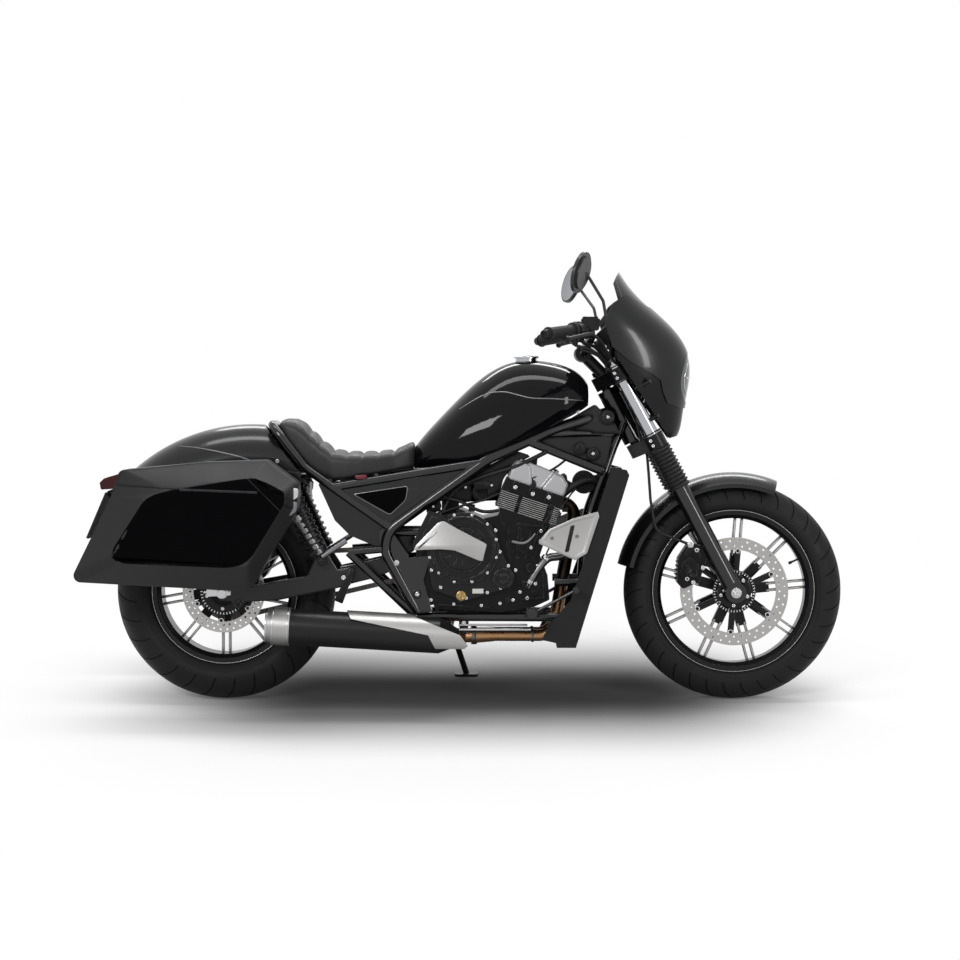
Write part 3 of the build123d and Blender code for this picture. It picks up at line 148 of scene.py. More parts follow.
def make_grain_group():
    """Two sizes of grain: a tint that wanders and a height for the Bump node."""
    group, start, end = new_group(
        "surface_grain",
        [(FLOAT, "Fine Size", 900.0), (FLOAT, "Broad Size", 14.0), (FLOAT, "Broad Share", 0.3)],
        [(FLOAT, "Height"), (FLOAT, "Cloud")],
    )
    place = add_node(group, "TexCoord")
    fine = add_node(group, "TexNoise", {"Detail": 3})
    broad = add_node(group, "TexNoise", {"Detail": 4})
    blend = add_node(group, "Mix")
    feed(group, place, "Object", fine, "Vector")
    feed(group, place, "Object", broad, "Vector")
    feed(group, start, "Fine Size", fine, "Scale")
    feed(group, start, "Broad Size", broad, "Scale")
    feed(group, start, "Broad Share", blend, "Factor")
    feed(group, fine, "Fac", blend, "A")
    feed(group, broad, "Fac", blend, "B")
    feed(group, blend, "Result", end, "Height")
    feed(group, broad, "Fac", end, "Cloud")
    return group


def make_wear_and_sheen_group():
    """How far a point is worn and brightened: lighter where the surface turns an edge, broken up by a noise.
    The lighter edges are real wear, and on the cast and cover blacks also a painted highlight.
    """
    group, start, end = new_group(
        "edge_wear_and_sheen",
        [(FLOAT, "Amount", 0.5), (FLOAT, "Patch Size", 60.0)],
        [(FLOAT, "Worn_And_Sheen"), (FLOAT, "Dust")],
    )
    geometry = add_node(group, "NewGeometry")
    place = add_node(group, "TexCoord")
    patches = add_node(group, "TexNoise", {"Detail": 5})
    rounded = add_node(group, "Bevel", {"Radius": 0.0012}, samples=4)
    turned = add_node(group, "VectorMath", operation="DOT_PRODUCT")
    edge = add_node(group, "MapRange", {"From Min": 0.985, "From Max": 0.88})
    breaks = add_node(group, "MapRange", {"From Min": 0.42, "From Max": 0.62})
    times = add_node(group, "Math", operation="MULTIPLY")
    share = add_node(group, "Math", operation="MULTIPLY")
    up = add_node(group, "SeparateXYZ")
    top = add_node(group, "MapRange", {"From Min": 0.35, "From Max": 1.0})
    settled = add_node(group, "Math", operation="MULTIPLY")
    feed(group, place, "Object", patches, "Vector")
    feed(group, start, "Patch Size", patches, "Scale")
    feed(group, rounded, "Normal", turned, 0)
    feed(group, geometry, "Normal", turned, 1)
    feed(group, turned, "Value", edge, "Value")
    feed(group, patches, "Fac", breaks, "Value")
    feed(group, edge, "Result", times, 0)
    feed(group, breaks, "Result", times, 1)
    feed(group, times, "Value", share, 0)
    feed(group, start, "Amount", share, 1)
    feed(group, share, "Value", end, "Worn_And_Sheen")
    feed(group, geometry, "Normal", up, "Vector")
    feed(group, up, "Z", top, "Value")
    feed(group, top, "Result", settled, 0)
    feed(group, patches, "Fac", settled, 1)
    feed(group, settled, "Value", end, "Dust")
    return group


GRAIN = make_grain_group()
WEAR_AND_SHEEN = make_wear_and_sheen_group()
PAINT_IOR = 1.45
DUST_COLOUR = (0.30, 0.28, 0.25, 1)
BROAD_SHARE = 0.15              # of the broad grain in the height
WEAR_AND_SHEEN_PATCH = 55.0


def finish_of(name, colour, worn_and_sheen_colour, rough, metal=0.0, specular=0.5, coat=0.0, coat_rough=0.05,
              fine=900.0, broad=14.0, bump=0.1, depth=0.0004, wear_and_sheen=0.0, dust=0.0, sweep=0.12,
              soft_edge=0.0012):
    """A surface with grain, cloudy gloss, worn edges that also carry a painted highlight on some finishes,
    rounded edges and settled dust.
    """
    material = bpy.data.materials.new(name)
    material.use_nodes = True
    tree = material.node_tree
    surface = tree.nodes["Principled BSDF"]
    set_inputs(surface, {"Metallic": metal, "Specular IOR Level": specular, "Coat Weight": coat,
                         "Coat Roughness": coat_rough, "IOR": PAINT_IOR})
    grain = add_node(tree, "Group", {"Fine Size": fine, "Broad Size": broad, "Broad Share": BROAD_SHARE},
                     node_tree=GRAIN)
    wear_and_sheen_mask = add_node(tree, "Group", {"Amount": wear_and_sheen, "Patch Size": WEAR_AND_SHEEN_PATCH}, node_tree=WEAR_AND_SHEEN)
    base = add_node(tree, "Mix", {"A": (*colour, 1), "B": (*worn_and_sheen_colour, 1)}, data_type="RGBA")
    feed(tree, wear_and_sheen_mask, "Worn_And_Sheen", base, "Factor")
    dusty = add_node(tree, "Mix", {"B": DUST_COLOUR}, data_type="RGBA")
    share = add_node(tree, "Math", {1: dust}, operation="MULTIPLY")
    feed(tree, wear_and_sheen_mask, "Dust", share, 0)
    feed(tree, share, "Value", dusty, "Factor")
    feed(tree, base, "Result", dusty, "A")
    feed(tree, dusty, "Result", surface, "Base Color")
    gloss = add_node(tree, "MapRange", {"From Min": 0.3, "From Max": 0.7,
                                        "To Min": max(0.02, rough * (1 - sweep)),
                                        "To Max": min(1.0, rough * (1 + sweep))})
    feed(tree, grain, "Cloud", gloss, "Value")
    feed(tree, gloss, "Result", surface, "Roughness")
    rise = add_node(tree, "Bump", {"Strength": bump, "Distance": depth})
    rounded = add_node(tree, "Bevel", {"Radius": soft_edge}, samples=4)
    feed(tree, rounded, "Normal", rise, "Normal")
    feed(tree, grain, "Height", rise, "Height")
    feed(tree, rise, "Normal", surface, "Normal")
    return material


# The colour of bare metal on worn edges; on the cast and cover blacks it is also a painted edge highlight.
BARE_METAL_AND_SHEEN = (0.30, 0.30, 0.31)

gloss_paint = finish_of("gloss_black_paint", (0.003, 0.003, 0.004), (0.02, 0.02, 0.02), 0.06,
                        specular=0.13, coat=0.1, coat_rough=0.03, fine=260, bump=0.04,
                        depth=0.0002, dust=0.006)
satin_black = finish_of("satin_black_coat", (0.005, 0.005, 0.006), BARE_METAL_AND_SHEEN, 0.27, specular=0.24,
                        fine=1500, bump=0.1, wear_and_sheen=0.4, dust=0.02)
fairing_paint = finish_of("dark_metal_flake", (0.011, 0.0115, 0.0125), (0.08, 0.08, 0.08), 0.24,
                          metal=0.45, specular=0.4, coat=0.2, coat_rough=0.05, fine=2600,
                          bump=0.05, dust=0.01, sweep=0.06)
bag_plastic = finish_of("matte_bag_plastic", (0.015, 0.015, 0.016), (0.07, 0.07, 0.07), 0.4,
                        specular=0.25, fine=1300, bump=0.2, dust=0.02, sweep=0.06, soft_edge=0.012)
shroud_plastic = finish_of("matte_black_plastic", (0.009, 0.009, 0.010), (0.05, 0.05, 0.05), 0.45,
                           specular=0.22, fine=1300, bump=0.25, wear_and_sheen=0.2, dust=0.03, sweep=0.06)
inlay_gloss = finish_of("gloss_inlay", (0.0015, 0.0015, 0.002), (0.02, 0.02, 0.02), 0.04,
                        specular=0.025, fine=220, bump=0.03, depth=0.0002, dust=0.003)
tube_black = finish_of("gloss_black_tube", (0.004, 0.004, 0.005), BARE_METAL_AND_SHEEN, 0.15, specular=0.6,
                       fine=900, bump=0.05, wear_and_sheen=0.05, dust=0.01)
arm_black = finish_of("arm_black", (0.006, 0.006, 0.007), BARE_METAL_AND_SHEEN, 0.28, specular=0.4, fine=1200,
                      bump=0.1, dust=0.02, soft_edge=0.009)
# The cast and cover blacks turn lighter at every edge: partly wear, partly a painted highlight that lifts the
# edges.
cast_black = finish_of("cast_black", (0.004, 0.004, 0.005), BARE_METAL_AND_SHEEN, 0.34, specular=0.16, fine=900,
                       bump=0.3, depth=0.0004, wear_and_sheen=0.9, dust=0.02, sweep=0.08)
cover_black = finish_of("cover_black", (0.012, 0.012, 0.013), BARE_METAL_AND_SHEEN, 0.26, metal=0.3, specular=0.25,
                        fine=1200, bump=0.15, wear_and_sheen=0.9, dust=0.02, sweep=0.08)
cast_silver = finish_of("cast_silver", (0.36, 0.36, 0.37), (0.6, 0.6, 0.6), 0.36, metal=0.85,
                        specular=0.4, fine=1100, bump=0.2, dust=0.02, sweep=0.08,
                        soft_edge=0.010)
plate_silver = finish_of("satin_silver", (0.36, 0.355, 0.35), (0.7, 0.7, 0.7), 0.36, metal=0.9,
                         specular=0.4, fine=1600, bump=0.12, wear_and_sheen=0.3, dust=0.03, sweep=0.08)
bright_steel = finish_of("bright_steel", (0.50, 0.50, 0.51), (0.8, 0.8, 0.8), 0.2, metal=1.0,
                         fine=1500, bump=0.06)
dull_steel = finish_of("dull_steel", (0.16, 0.16, 0.165), (0.5, 0.5, 0.5), 0.34, metal=0.95,
                       fine=1500, bump=0.12, wear_and_sheen=0.3)
disc_steel = finish_of("disc_steel", (0.37, 0.36, 0.35), (0.7, 0.7, 0.7), 0.3, metal=1.0,
                       fine=1800, bump=0.12)
hard_chrome = finish_of("hard_chrome", (0.42, 0.43, 0.45), (0.8, 0.8, 0.8), 0.09, metal=1.0,
                        fine=400, bump=0.02)
header_bronze = finish_of("heat_tinted_pipe", (0.36, 0.20, 0.10), (0.55, 0.42, 0.3), 0.3,
                          metal=0.9, fine=800, broad=22, bump=0.12, sweep=0.35)
muffler_black = finish_of("muffler_black", (0.007, 0.007, 0.008), BARE_METAL_AND_SHEEN, 0.3, metal=0.2,
                          specular=0.35, fine=1300, bump=0.12, wear_and_sheen=0.1, dust=0.02, sweep=0.06)
tyre_rubber = finish_of("tyre_rubber", (0.014, 0.014, 0.015), (0.05, 0.05, 0.05), 0.55,
                        specular=0.14, fine=1400, broad=30, bump=0.3, dust=0.06, sweep=0.2)
soft_rubber = finish_of("soft_rubber", (0.009, 0.009, 0.009), (0.05, 0.05, 0.05), 0.5,
                        specular=0.3, fine=1700, bump=0.25, dust=0.03)
seat_cover = finish_of("seat_cover", (0.018, 0.018, 0.019), (0.08, 0.08, 0.08), 0.42,
                       specular=0.28, fine=700, broad=18, bump=0.55, depth=0.0006, wear_and_sheen=0.1,
                       dust=0.03)
smoked_screen = finish_of("smoked_screen", (0.012, 0.012, 0.014), (0.05, 0.05, 0.05), 0.06,
                          specular=0.3, coat=0.2, fine=200, bump=0.02)
lens_red = finish_of("lens_red", (0.045, 0.0004, 0.001), (0.4, 0.03, 0.03), 0.1, specular=0.25,
                     coat=0.1, fine=300, bump=0.15)
lamp_glass = finish_of("lamp_glass", (0.10, 0.105, 0.11), (0.6, 0.6, 0.6), 0.08, metal=0.5,
                       specular=0.5, coat=0.4, fine=220, bump=0.2)
mirror_back = finish_of("mirror_back", (0.028, 0.028, 0.030), (0.1, 0.1, 0.1), 0.3,
                        specular=0.4, fine=1500, bump=0.12, dust=0.03)
core_metal = finish_of("radiator_fins", (0.02, 0.02, 0.022), BARE_METAL_AND_SHEEN, 0.5, metal=0.4, fine=900,
                       bump=0.3, dust=0.1)
chain_steel = finish_of("chain_steel", (0.12, 0.115, 0.11), (0.4, 0.4, 0.4), 0.4, metal=0.9,
                        fine=1200, bump=0.25, dust=0.1)
brass = finish_of("brass_plug", (0.35, 0.24, 0.10), (0.6, 0.5, 0.3), 0.3, metal=1.0, fine=1200,
                  bump=0.1)
label_white = finish_of("label_white", (0.62, 0.62, 0.60), (0.7, 0.7, 0.7), 0.5, fine=900, bump=0.05)
marker_red = finish_of("marker_red", (0.11, 0.004, 0.012), (0.5, 0.05, 0.05), 0.35, fine=900,
                       bump=0.1)
mirror_glass = finish_of("mirror_glass", (0.30, 0.31, 0.33), (0.8, 0.8, 0.8), 0.02, metal=1.0,
                         fine=200, bump=0.0)


def mask_group(name, kind):
    """1 past a limit: how far a point lies from an axle, or how high it stands."""
    group, start, end = new_group(
        name, [(VECTOR, "Middle", None), (FLOAT, "Limit", 0.1), (FLOAT, "Soft", 0.001)], [(FLOAT, "Past")])
    place = add_node(group, "TexCoord")
    from_middle = add_node(group, "VectorMath", operation="SUBTRACT")
    feed(group, place, "Object", from_middle, 0)
    feed(group, start, "Middle", from_middle, 1)
    measure = add_node(group, "VectorMath")
    if kind == "axle":
        across = add_node(group, "VectorMath", {1: (0, math.cos(LEAN), -math.sin(LEAN))},
                          operation="CROSS_PRODUCT")
        feed(group, from_middle, "Vector", across, 0)
        measure.operation = "LENGTH"
        feed(group, across, "Vector", measure, 0)
    else:
        measure.operation = "DOT_PRODUCT"
        measure.inputs[1].default_value = (0, 0, 1)
        feed(group, from_middle, "Vector", measure, 0)
    over = add_node(group, "Math", operation="SUBTRACT")
    share = add_node(group, "Math", operation="DIVIDE", use_clamp=True)
    feed(group, measure, "Value", over, 0)
    feed(group, start, "Limit", over, 1)
    feed(group, over, "Value", share, 0)
    feed(group, start, "Soft", share, 1)
    feed(group, share, "Value", end, "Past")
    return group


FROM_AXLE = mask_group("distance_from_axle", "axle")
FROM_FLOOR = mask_group("height_over_floor", "height")


def masked(material, name, group, middle, limit, soft, near_colour):
    """A copy of a finish that takes another colour short of a limit."""
    copy = material.copy()
    copy.name = name
    tree = copy.node_tree
    surface = tree.nodes["Principled BSDF"]
    mask = add_node(tree, "Group", {"Middle": middle, "Limit": limit, "Soft": soft}, node_tree=group)
    mix = add_node(tree, "Mix", {"A": (*near_colour, 1)}, data_type="RGBA")
    tree.links.new(surface.inputs["Base Color"].links[0].from_socket, mix.inputs["B"])
    feed(tree, mask, "Past", mix, "Factor")
    feed(tree, mix, "Result", surface, "Base Color")
    return copy


CARRIER_BLACK = (0.01, 0.01, 0.011)
HEADER_DARK = (0.022, 0.014, 0.010)
# The discs turn black inside their friction rings, and the header darkens towards the engine.
front_disc_steel = masked(disc_steel, "front_disc_steel", FROM_AXLE, leaned(FRONT_X, 0, FRONT_Z), 0.119,
                          0.0008, CARRIER_BLACK)
rear_disc_steel = masked(disc_steel, "rear_disc_steel", FROM_AXLE, leaned(REAR_X, 0, REAR_Z), 0.0855,
                         0.0008, CARRIER_BLACK)
header_steel = masked(header_bronze, "header_steel", FROM_FLOOR, (0, 0, 0), 0.36, -0.12, HEADER_DARK)

node_finishes = {
    "front_tyre": tyre_rubber, "rear_tyre": tyre_rubber, "front_rim": satin_black,
    "rear_rim": satin_black, "front_disc": front_disc_steel, "rear_disc": rear_disc_steel,
    "rear_sprocket": chain_steel, "front_axle": bright_steel, "fork_sliders": tube_black,
    "fork_tubes": hard_chrome, "fork_gaiters": soft_rubber, "triple_clamps": satin_black,
    "front_fender": fairing_paint, "front_caliper": cast_black, "brake_hose": soft_rubber,
    "handlebar": tube_black, "grips": soft_rubber, "switchgear": shroud_plastic,
    "mirrors": mirror_back, "fairing": fairing_paint, "windscreen": smoked_screen,
    "headlamp": lamp_glass, "instrument": shroud_plastic, "frame": tube_black,
    "swingarm": arm_black, "rear_axle": bright_steel, "rear_caliper": cast_black,
    "shock_absorbers": satin_black, "drive_chain": chain_steel, "engine_crankcase": cast_black,
    "engine_barrel": cast_black, "engine_head_cover": cast_silver, "clutch_cover": cover_black,
    "clutch_plate": cover_black, "alternator_cover": cast_black, "radiator_core": core_metal,
    "radiator_shroud": shroud_plastic, "radiator_plates": plate_silver,
    "exhaust_header": header_steel, "muffler": muffler_black, "muffler_shield": plate_silver,
    "fuel_tank": gloss_paint, "tank_cap": hard_chrome, "seat": seat_cover,
    "tail_cowl": fairing_paint, "rear_fender": shroud_plastic, "tail_lamp": lens_red,
    "plate_holder": shroud_plastic, "saddlebag_right": bag_plastic,
    "saddlebag_left": bag_plastic, "side_covers": fairing_paint, "head_panels": bag_plastic,
    "foot_controls": tube_black, "horn": cast_black, "side_stand": satin_black,
    "bag_lid_right": bag_plastic, "bag_lid_left": bag_plastic, "muffler_tip": plate_silver,
    "fairing_chin": satin_black,
}


# ---------------------------------------------------------------- shapes

def fork_place(up, forward=0.0, y=0.0):
    """A point up the fork leg from the axle, and forward of the leg at a right angle."""
    return (FRONT_X - up * math.sin(RAKE) + forward * math.cos(RAKE), y,
            FRONT_Z + up * math.cos(RAKE) + forward * math.sin(RAKE))


def between(start, end, share):
    return Vector(start).lerp(Vector(end), share)


def edit(piece, mode="FACE"):
    """Enter edit mode on this piece with nothing selected."""
    take(piece)
    bpy.ops.object.mode_set(mode="EDIT")
    bpy.ops.mesh.select_mode(type=mode)
    bpy.ops.mesh.select_all(action="DESELECT")


def leave_edit():
    bpy.ops.object.mode_set(mode="OBJECT")


def select_whole():
    bpy.ops.mesh.select_all(action="SELECT")


def leave_facing_out():
    """Point all the faces outwards and leave edit mode."""
    select_whole()
    bpy.ops.mesh.normals_make_consistent(inside=False)
    leave_edit()


def extrude(move):
    bpy.ops.mesh.extrude_region_move(TRANSFORM_OT_translate={"value": move})


def cut(place, normal):
    """Add edges right across the piece, where a plane meets it."""
    select_whole()
    bpy.ops.mesh.bisect(plane_co=place, plane_no=normal)


def pick(piece, kind, rule):
    """In edit mode, select the faces, edges or vertices that pass a rule."""
    mesh = bmesh.from_edit_mesh(piece.data)
    chosen = [bool(rule(part)) for part in getattr(mesh, kind)]
    for part, wanted in zip(getattr(mesh, kind), chosen):
        part.select_set(wanted)
    mesh.select_flush_mode()
    bmesh.update_edit_mesh(piece.data)
    return any(chosen)


def close_up(piece, reach=0.00005):
    """Merge doubles and point the faces outwards."""
    edit(piece, "VERT")
    select_whole()
    bpy.ops.mesh.remove_doubles(threshold=reach)
    bpy.ops.mesh.normals_make_consistent(inside=False)
    leave_edit()
    return piece


def copy_of(piece):
    twin = piece.copy()
    twin.data = piece.data.copy()
    bpy.context.scene.collection.objects.link(twin)
    return twin


def join_all(parts):
    take(*parts)
    if len(parts) > 1:
        bpy.ops.object.join()
    return bpy.context.view_layer.objects.active


def dress(parts, name, body, finish, degrees=35):
    """Join the parts into one piece, lean it with the machine and finish it."""
    return finish_piece(settle(join_all(parts)), name, body, finish, degrees)


def put_round(piece, x, z, turn):
    """Turn a piece about the cross axis through x, z (its place goes into the mesh)."""
    middle = Matrix.Translation((x * MM, 0, z * MM))
    piece.data.transform(middle @ Matrix.Rotation(turn, 4, "Y") @ middle.inverted())


def plate(outline, y_inner, y_outer, corner=3.0, edge=0.8, steps=3):
    """A plate with that side outline between two y values, with round corners and a soft outer edge."""
    let_go()
    bpy.ops.mesh.primitive_circle_add(vertices=len(outline), radius=1, fill_type="NGON")
    piece = bpy.context.object
    for vertex, (x, z) in zip(piece.data.vertices, outline):
        vertex.co = (x * MM, y_inner * MM, z * MM)
    edit(piece, "VERT")
    select_whole()
    if corner:
        bpy.ops.mesh.bevel(offset=corner * MM, affect="VERTICES", segments=steps)
    select_whole()
    bpy.ops.mesh.select_mode(type="FACE")
    extrude((0, (y_outer - y_inner) * MM, 0))
    if edge:
        bpy.ops.mesh.bevel(offset=edge * MM, segments=2, affect="EDGES")
    leave_facing_out()
    return piece


def knob(start, end, radius, edge=1.0, sides=24, hollow=0.0):
    """A turned boss from start to end, its outer rim softened and, if hollow, dished."""
    run = Vector(end) - Vector(start)
    middle = (Vector(start) + Vector(end)) / 2 * MM
    let_go()
    bpy.ops.mesh.primitive_cylinder_add(vertices=sides, radius=radius * MM, depth=run.length * MM)
    piece = bpy.context.object
    top = run.length / 2 * MM
    edit(piece)
    pick(piece, "faces", lambda face: face.calc_center_median().z > top * 0.99)
    if edge:
        bpy.ops.mesh.bevel(offset=edge * MM, segments=2, affect="EDGES")
        pick(piece, "faces", lambda face: face.calc_center_median().z > top * 0.999 and face.normal.z > 0.9)
    bpy.ops.mesh.inset(thickness=radius * 0.28 * MM, depth=0)
    if hollow:
        extrude((0, 0, -hollow * MM))
    leave_edit()
    piece.data.transform(Matrix.Translation(middle) @ run.to_track_quat("Z", "Y").to_matrix().to_4x4())
    return piece


def ring(x, y_start, y_end, z, inner, outer, edge=0.8, sides=48):
    """A flat ring across the machine."""
    let_go()
    bpy.ops.mesh.primitive_cylinder_add(vertices=sides, radius=outer * MM, depth=abs(y_end - y_start) * MM)
    piece = bpy.context.object
    edit(piece)
    pick(piece, "faces", lambda face: abs(face.normal.z) > 0.9)
    bpy.ops.mesh.inset(thickness=(outer - inner) * MM, depth=0)
    bpy.ops.mesh.bridge_edge_loops()
    leave_edit()
    if edge:
        modify(piece, "BEVEL", width=edge * MM, segments=2, limit_method="ANGLE")
    middle = Matrix.Translation((x * MM, (y_start + y_end) / 2 * MM, z * MM))
    piece.data.transform(middle @ Matrix.Rotation(math.pi / 2, 4, "X"))
    return piece


def tube(points, radius, name, body, finish):
    """A round hose or cable along one smooth line of control points."""
    let_go()
    curve = bpy.data.curves.new(name, "CURVE")
    curve.dimensions = "3D"
    curve.bevel_depth = radius * MM
    curve.bevel_resolution = 3
    curve.resolution_u = 10
    curve.use_fill_caps = True
    spline = curve.splines.new("NURBS")
    spline.points.add(len(points) - 1)
    for control, point in zip(spline.points, points):
        control.co = (*leaned(*point), 1)
    spline.order_u = 3
    spline.use_endpoint_u = True
    piece = bpy.data.objects.new(name, curve)
    bpy.context.scene.collection.objects.link(piece)
    curve.materials.append(finish)
    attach(piece, body)
    return piece


def make_bolt(radius, height):
    """A round-headed bolt with a socket, standing on the origin along Z."""
    let_go()
    bpy.ops.mesh.primitive_cylinder_add(vertices=12, radius=radius * MM, depth=height * MM,
                                        location=(0, 0, height / 2 * MM))
    bolt = bpy.context.object
    bpy.ops.object.transform_apply(location=True)
    edit(bolt)
    pick(bolt, "faces", lambda face: face.normal.z > 0.9)
    bpy.ops.mesh.bevel(offset=radius * 0.16 * MM, segments=1, affect="EDGES")
    pick(bolt, "faces", lambda face: face.normal.z > 0.99)
    bpy.ops.mesh.inset(thickness=radius * 0.38 * MM, depth=0)
    extrude((0, 0, -height * 0.6 * MM))
    leave_edit()
    return bolt


def bolt_set(name, places, direction, radius, height, body, finish):
    """The same bolt at each place, heads towards direction."""
    first = make_bolt(radius, height)
    turn = Vector(direction).to_track_quat("Z", "Y").to_matrix().to_4x4()
    parts = []
    for place in places:
        bolt = copy_of(first)
        bolt.data.transform(Matrix.Translation(Vector(place) * MM) @ turn)
        parts.append(bolt)
    bpy.data.objects.remove(first)
    return dress(parts, name, body, finish)


def circle_places(x, y, z, radius, count, start=0.0):
    """Places round a circle across the machine."""
    turns = [math.radians(start) + number * math.tau / count for number in range(count)]
    return [(x + radius * math.cos(a), y, z + radius * math.sin(a)) for a in turns]


# ---------------------------------------------------------------- tyres

# columns: node, hub x, hub z, radius, half width, shoulder drop, rim radius, rim half width, grooves round,
# slant, body
tyre_table = [
    ("front_tyre", FRONT_X, FRONT_Z, 320.0, 62.0, 50.0, 228.0, 50.0, 34, 0.16, "front_wheel"),
    ("rear_tyre", REAR_X, REAR_Z, 321.0, 89.0, 66.0, 203.0, 68.0, 28, -0.18, "rear_wheel"),
]
GROOVE_WIDTH = 5.0
GROOVE_DEPTH = 4.0


def tyre_profile(radius, half, shoulder, rim_radius, rim_half):
    """Points from bead to bead: sidewall with two raised lines, round crown, sidewall."""
    crown = (half ** 2 + shoulder ** 2) / (2 * shoulder)
    reach = math.asin(min(1.0, half / crown))
    foot, lip = rim_half - 5.3, rim_radius + 11.3
    bulge = (half + rim_half) / 2 + 4
    middle = (radius - shoulder + rim_radius) / 2
    bend = (2 * bulge - (half + foot) / 2, 2 * middle - (radius - shoulder + lip) / 2)
    side = []
    for share, raised in ((0.0, 0), (0.16, 0), (0.18, 1.2), (0.22, 1.2), (0.24, 0), (0.45, 0), (0.62, 0),
                          (0.64, -1.0), (0.67, -1.0), (0.69, 0), (0.84, 0)):
        y = (1 - share) ** 2 * foot + 2 * share * (1 - share) * bend[0] + share ** 2 * half
        r = (1 - share) ** 2 * lip + 2 * share * (1 - share) * bend[1] + share ** 2 * (radius - shoulder)
        side.append((y + raised, r))
    across = [reach * number / 7 for number in range(7, -1, -1)]
    top = [(crown * math.sin(a), radius - crown + crown * math.cos(a)) for a in across]
    right = [(foot, rim_radius + 0.3)] + side + top
    return right + [(-y, r) for y, r in reversed(right[:-1])]


def make_tyre(node, x, z, radius, half, shoulder, rim_radius, rim_half, pitches, slant, body):
    profile = tyre_profile(radius, half, shoulder, rim_radius, rim_half)
    let_go()
    bpy.ops.mesh.primitive_circle_add(vertices=len(profile), radius=1, fill_type="NOTHING")
    piece = bpy.context.object
    for vertex, (y, r) in zip(piece.data.vertices, profile):
        vertex.co = ((x + r) * MM, y * MM, z * MM)
    pitch = math.tau / pitches
    groove = GROOVE_WIDTH / radius
    plain = (pitch / 2 - groove) / 2
    edit(piece, "EDGE")
    select_whole()
    for turn, steps in ((plain, 1), (groove, 1), (plain, 1), (plain, 1), (groove, 1), (plain, 1)):
        bpy.ops.mesh.spin(steps=steps, angle=turn, center=(x * MM, 0, z * MM), axis=(0, 1, 0))
    select_whole()
    bpy.ops.mesh.remove_doubles(threshold=0.00002)
    leave_edit()
    # The rows slant: the tread turns about the axle by how far it lies from the middle.
    hub = Vector((x * MM, 0, z * MM))
    for vertex in piece.data.vertices:
        away = min(1.0, abs(vertex.co.y) / (half * MM))
        turned = Matrix.Rotation(slant * away, 3, "Y") @ (vertex.co - hub)
        vertex.co = hub + turned
    edit(piece)
    select_whole()
    bpy.ops.mesh.normals_make_consistent(inside=False)
    mesh = bmesh.from_edit_mesh(piece.data)
    outermost = max(mesh.faces, key=lambda face: (face.calc_center_median() - hub).length)
    if outermost.normal.dot(outermost.calc_center_median() - hub) < 0:
        bpy.ops.mesh.flip_normals()

    def in_groove(face):
        spot = face.calc_center_median() - hub
        away = abs(spot.y) / (half * MM)
        flat = math.hypot(spot.x, spot.z)
        if flat < (radius - shoulder) * MM or not 0.12 < away < 1.02:
            return False
        turn = math.atan2(-spot.z, spot.x) - slant * min(1.0, away)
        where = (turn % pitch) / pitch
        wanted = 0.25 if spot.y < 0 else 0.75
        return abs(where - wanted) < groove / pitch * 0.45

    if pick(piece, "faces", in_groove):
        bpy.ops.mesh.inset(thickness=0.0005, depth=-GROOVE_DEPTH * MM)
    leave_edit()
    parts = [piece]
    for number in range(1, pitches):
        twin = copy_of(piece)
        put_round(twin, x, z, pitch * number)
        parts.append(twin)
    whole = close_up(join_all(parts), 0.00004)
    dress([whole], node + "_tread", body, tyre_rubber, 32)
    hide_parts(node)


for row in tyre_table:
    make_tyre(*row)


# ---------------------------------------------------------------- fork gaiters

GAITER_FOLDS = 11
GAITER_ENDS = (345.0, 474.0)    # distances up the fork leg
GAITER_VALLEY, GAITER_CREST = 0.0285, 0.0355
GAITER_COLLAR = 8


def make_gaiters():
    """Rubber bellows round each fork tube, with a collar at each end."""
    parts = []
    low, high = GAITER_ENDS
    for side in SIDES:
        let_go()
        bpy.ops.mesh.primitive_cylinder_add(vertices=40, radius=0.030, depth=(high - low) * MM,
                                            end_fill_type="NOTHING")
        bellows = bpy.context.object
        edit(bellows)
        rows = GAITER_FOLDS * 2
        for number in range(1, rows):
            cut((0, 0, (-0.5 + number / rows) * (high - low) * MM), (0, 0, 1))
        leave_edit()
        step = (high - low) * MM / rows
        for vertex in bellows.data.vertices:
            number = round((vertex.co.z + (high - low) / 2 * MM) / step)
            wide = GAITER_CREST if number % 2 else GAITER_VALLEY
            flat = Vector((vertex.co.x, vertex.co.y, 0)).normalized() * wide
            vertex.co = (flat.x, flat.y, vertex.co.z)
        edit(bellows, "EDGE")
        pick(bellows, "edges", lambda e: not e.is_boundary and abs(e.verts[0].co.z - e.verts[1].co.z) < 1e-6)
        bpy.ops.mesh.bevel(offset=0.0011, segments=2, affect="EDGES")
        leave_edit()
        modify(bellows, "SOLIDIFY", thickness=0.002, offset=-1)
        middle = Vector(fork_place((low + high) / 2, 0, side * FORK_HALF)) * MM
        bellows.data.transform(Matrix.Translation(middle) @ Matrix.Rotation(-RAKE, 4, "Y"))
        parts.append(bellows)
        for up in (low, high - GAITER_COLLAR):
            foot, head = [fork_place(reach, 0, side * FORK_HALF) for reach in (up, up + GAITER_COLLAR)]
            parts.append(knob(foot, head, 31.5, 1.2, 40))
    gaiters = dress(parts, "fork_bellows", "steering", soft_rubber, 40)
    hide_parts("fork_gaiters")


make_gaiters()


# ---------------------------------------------------------------- seat

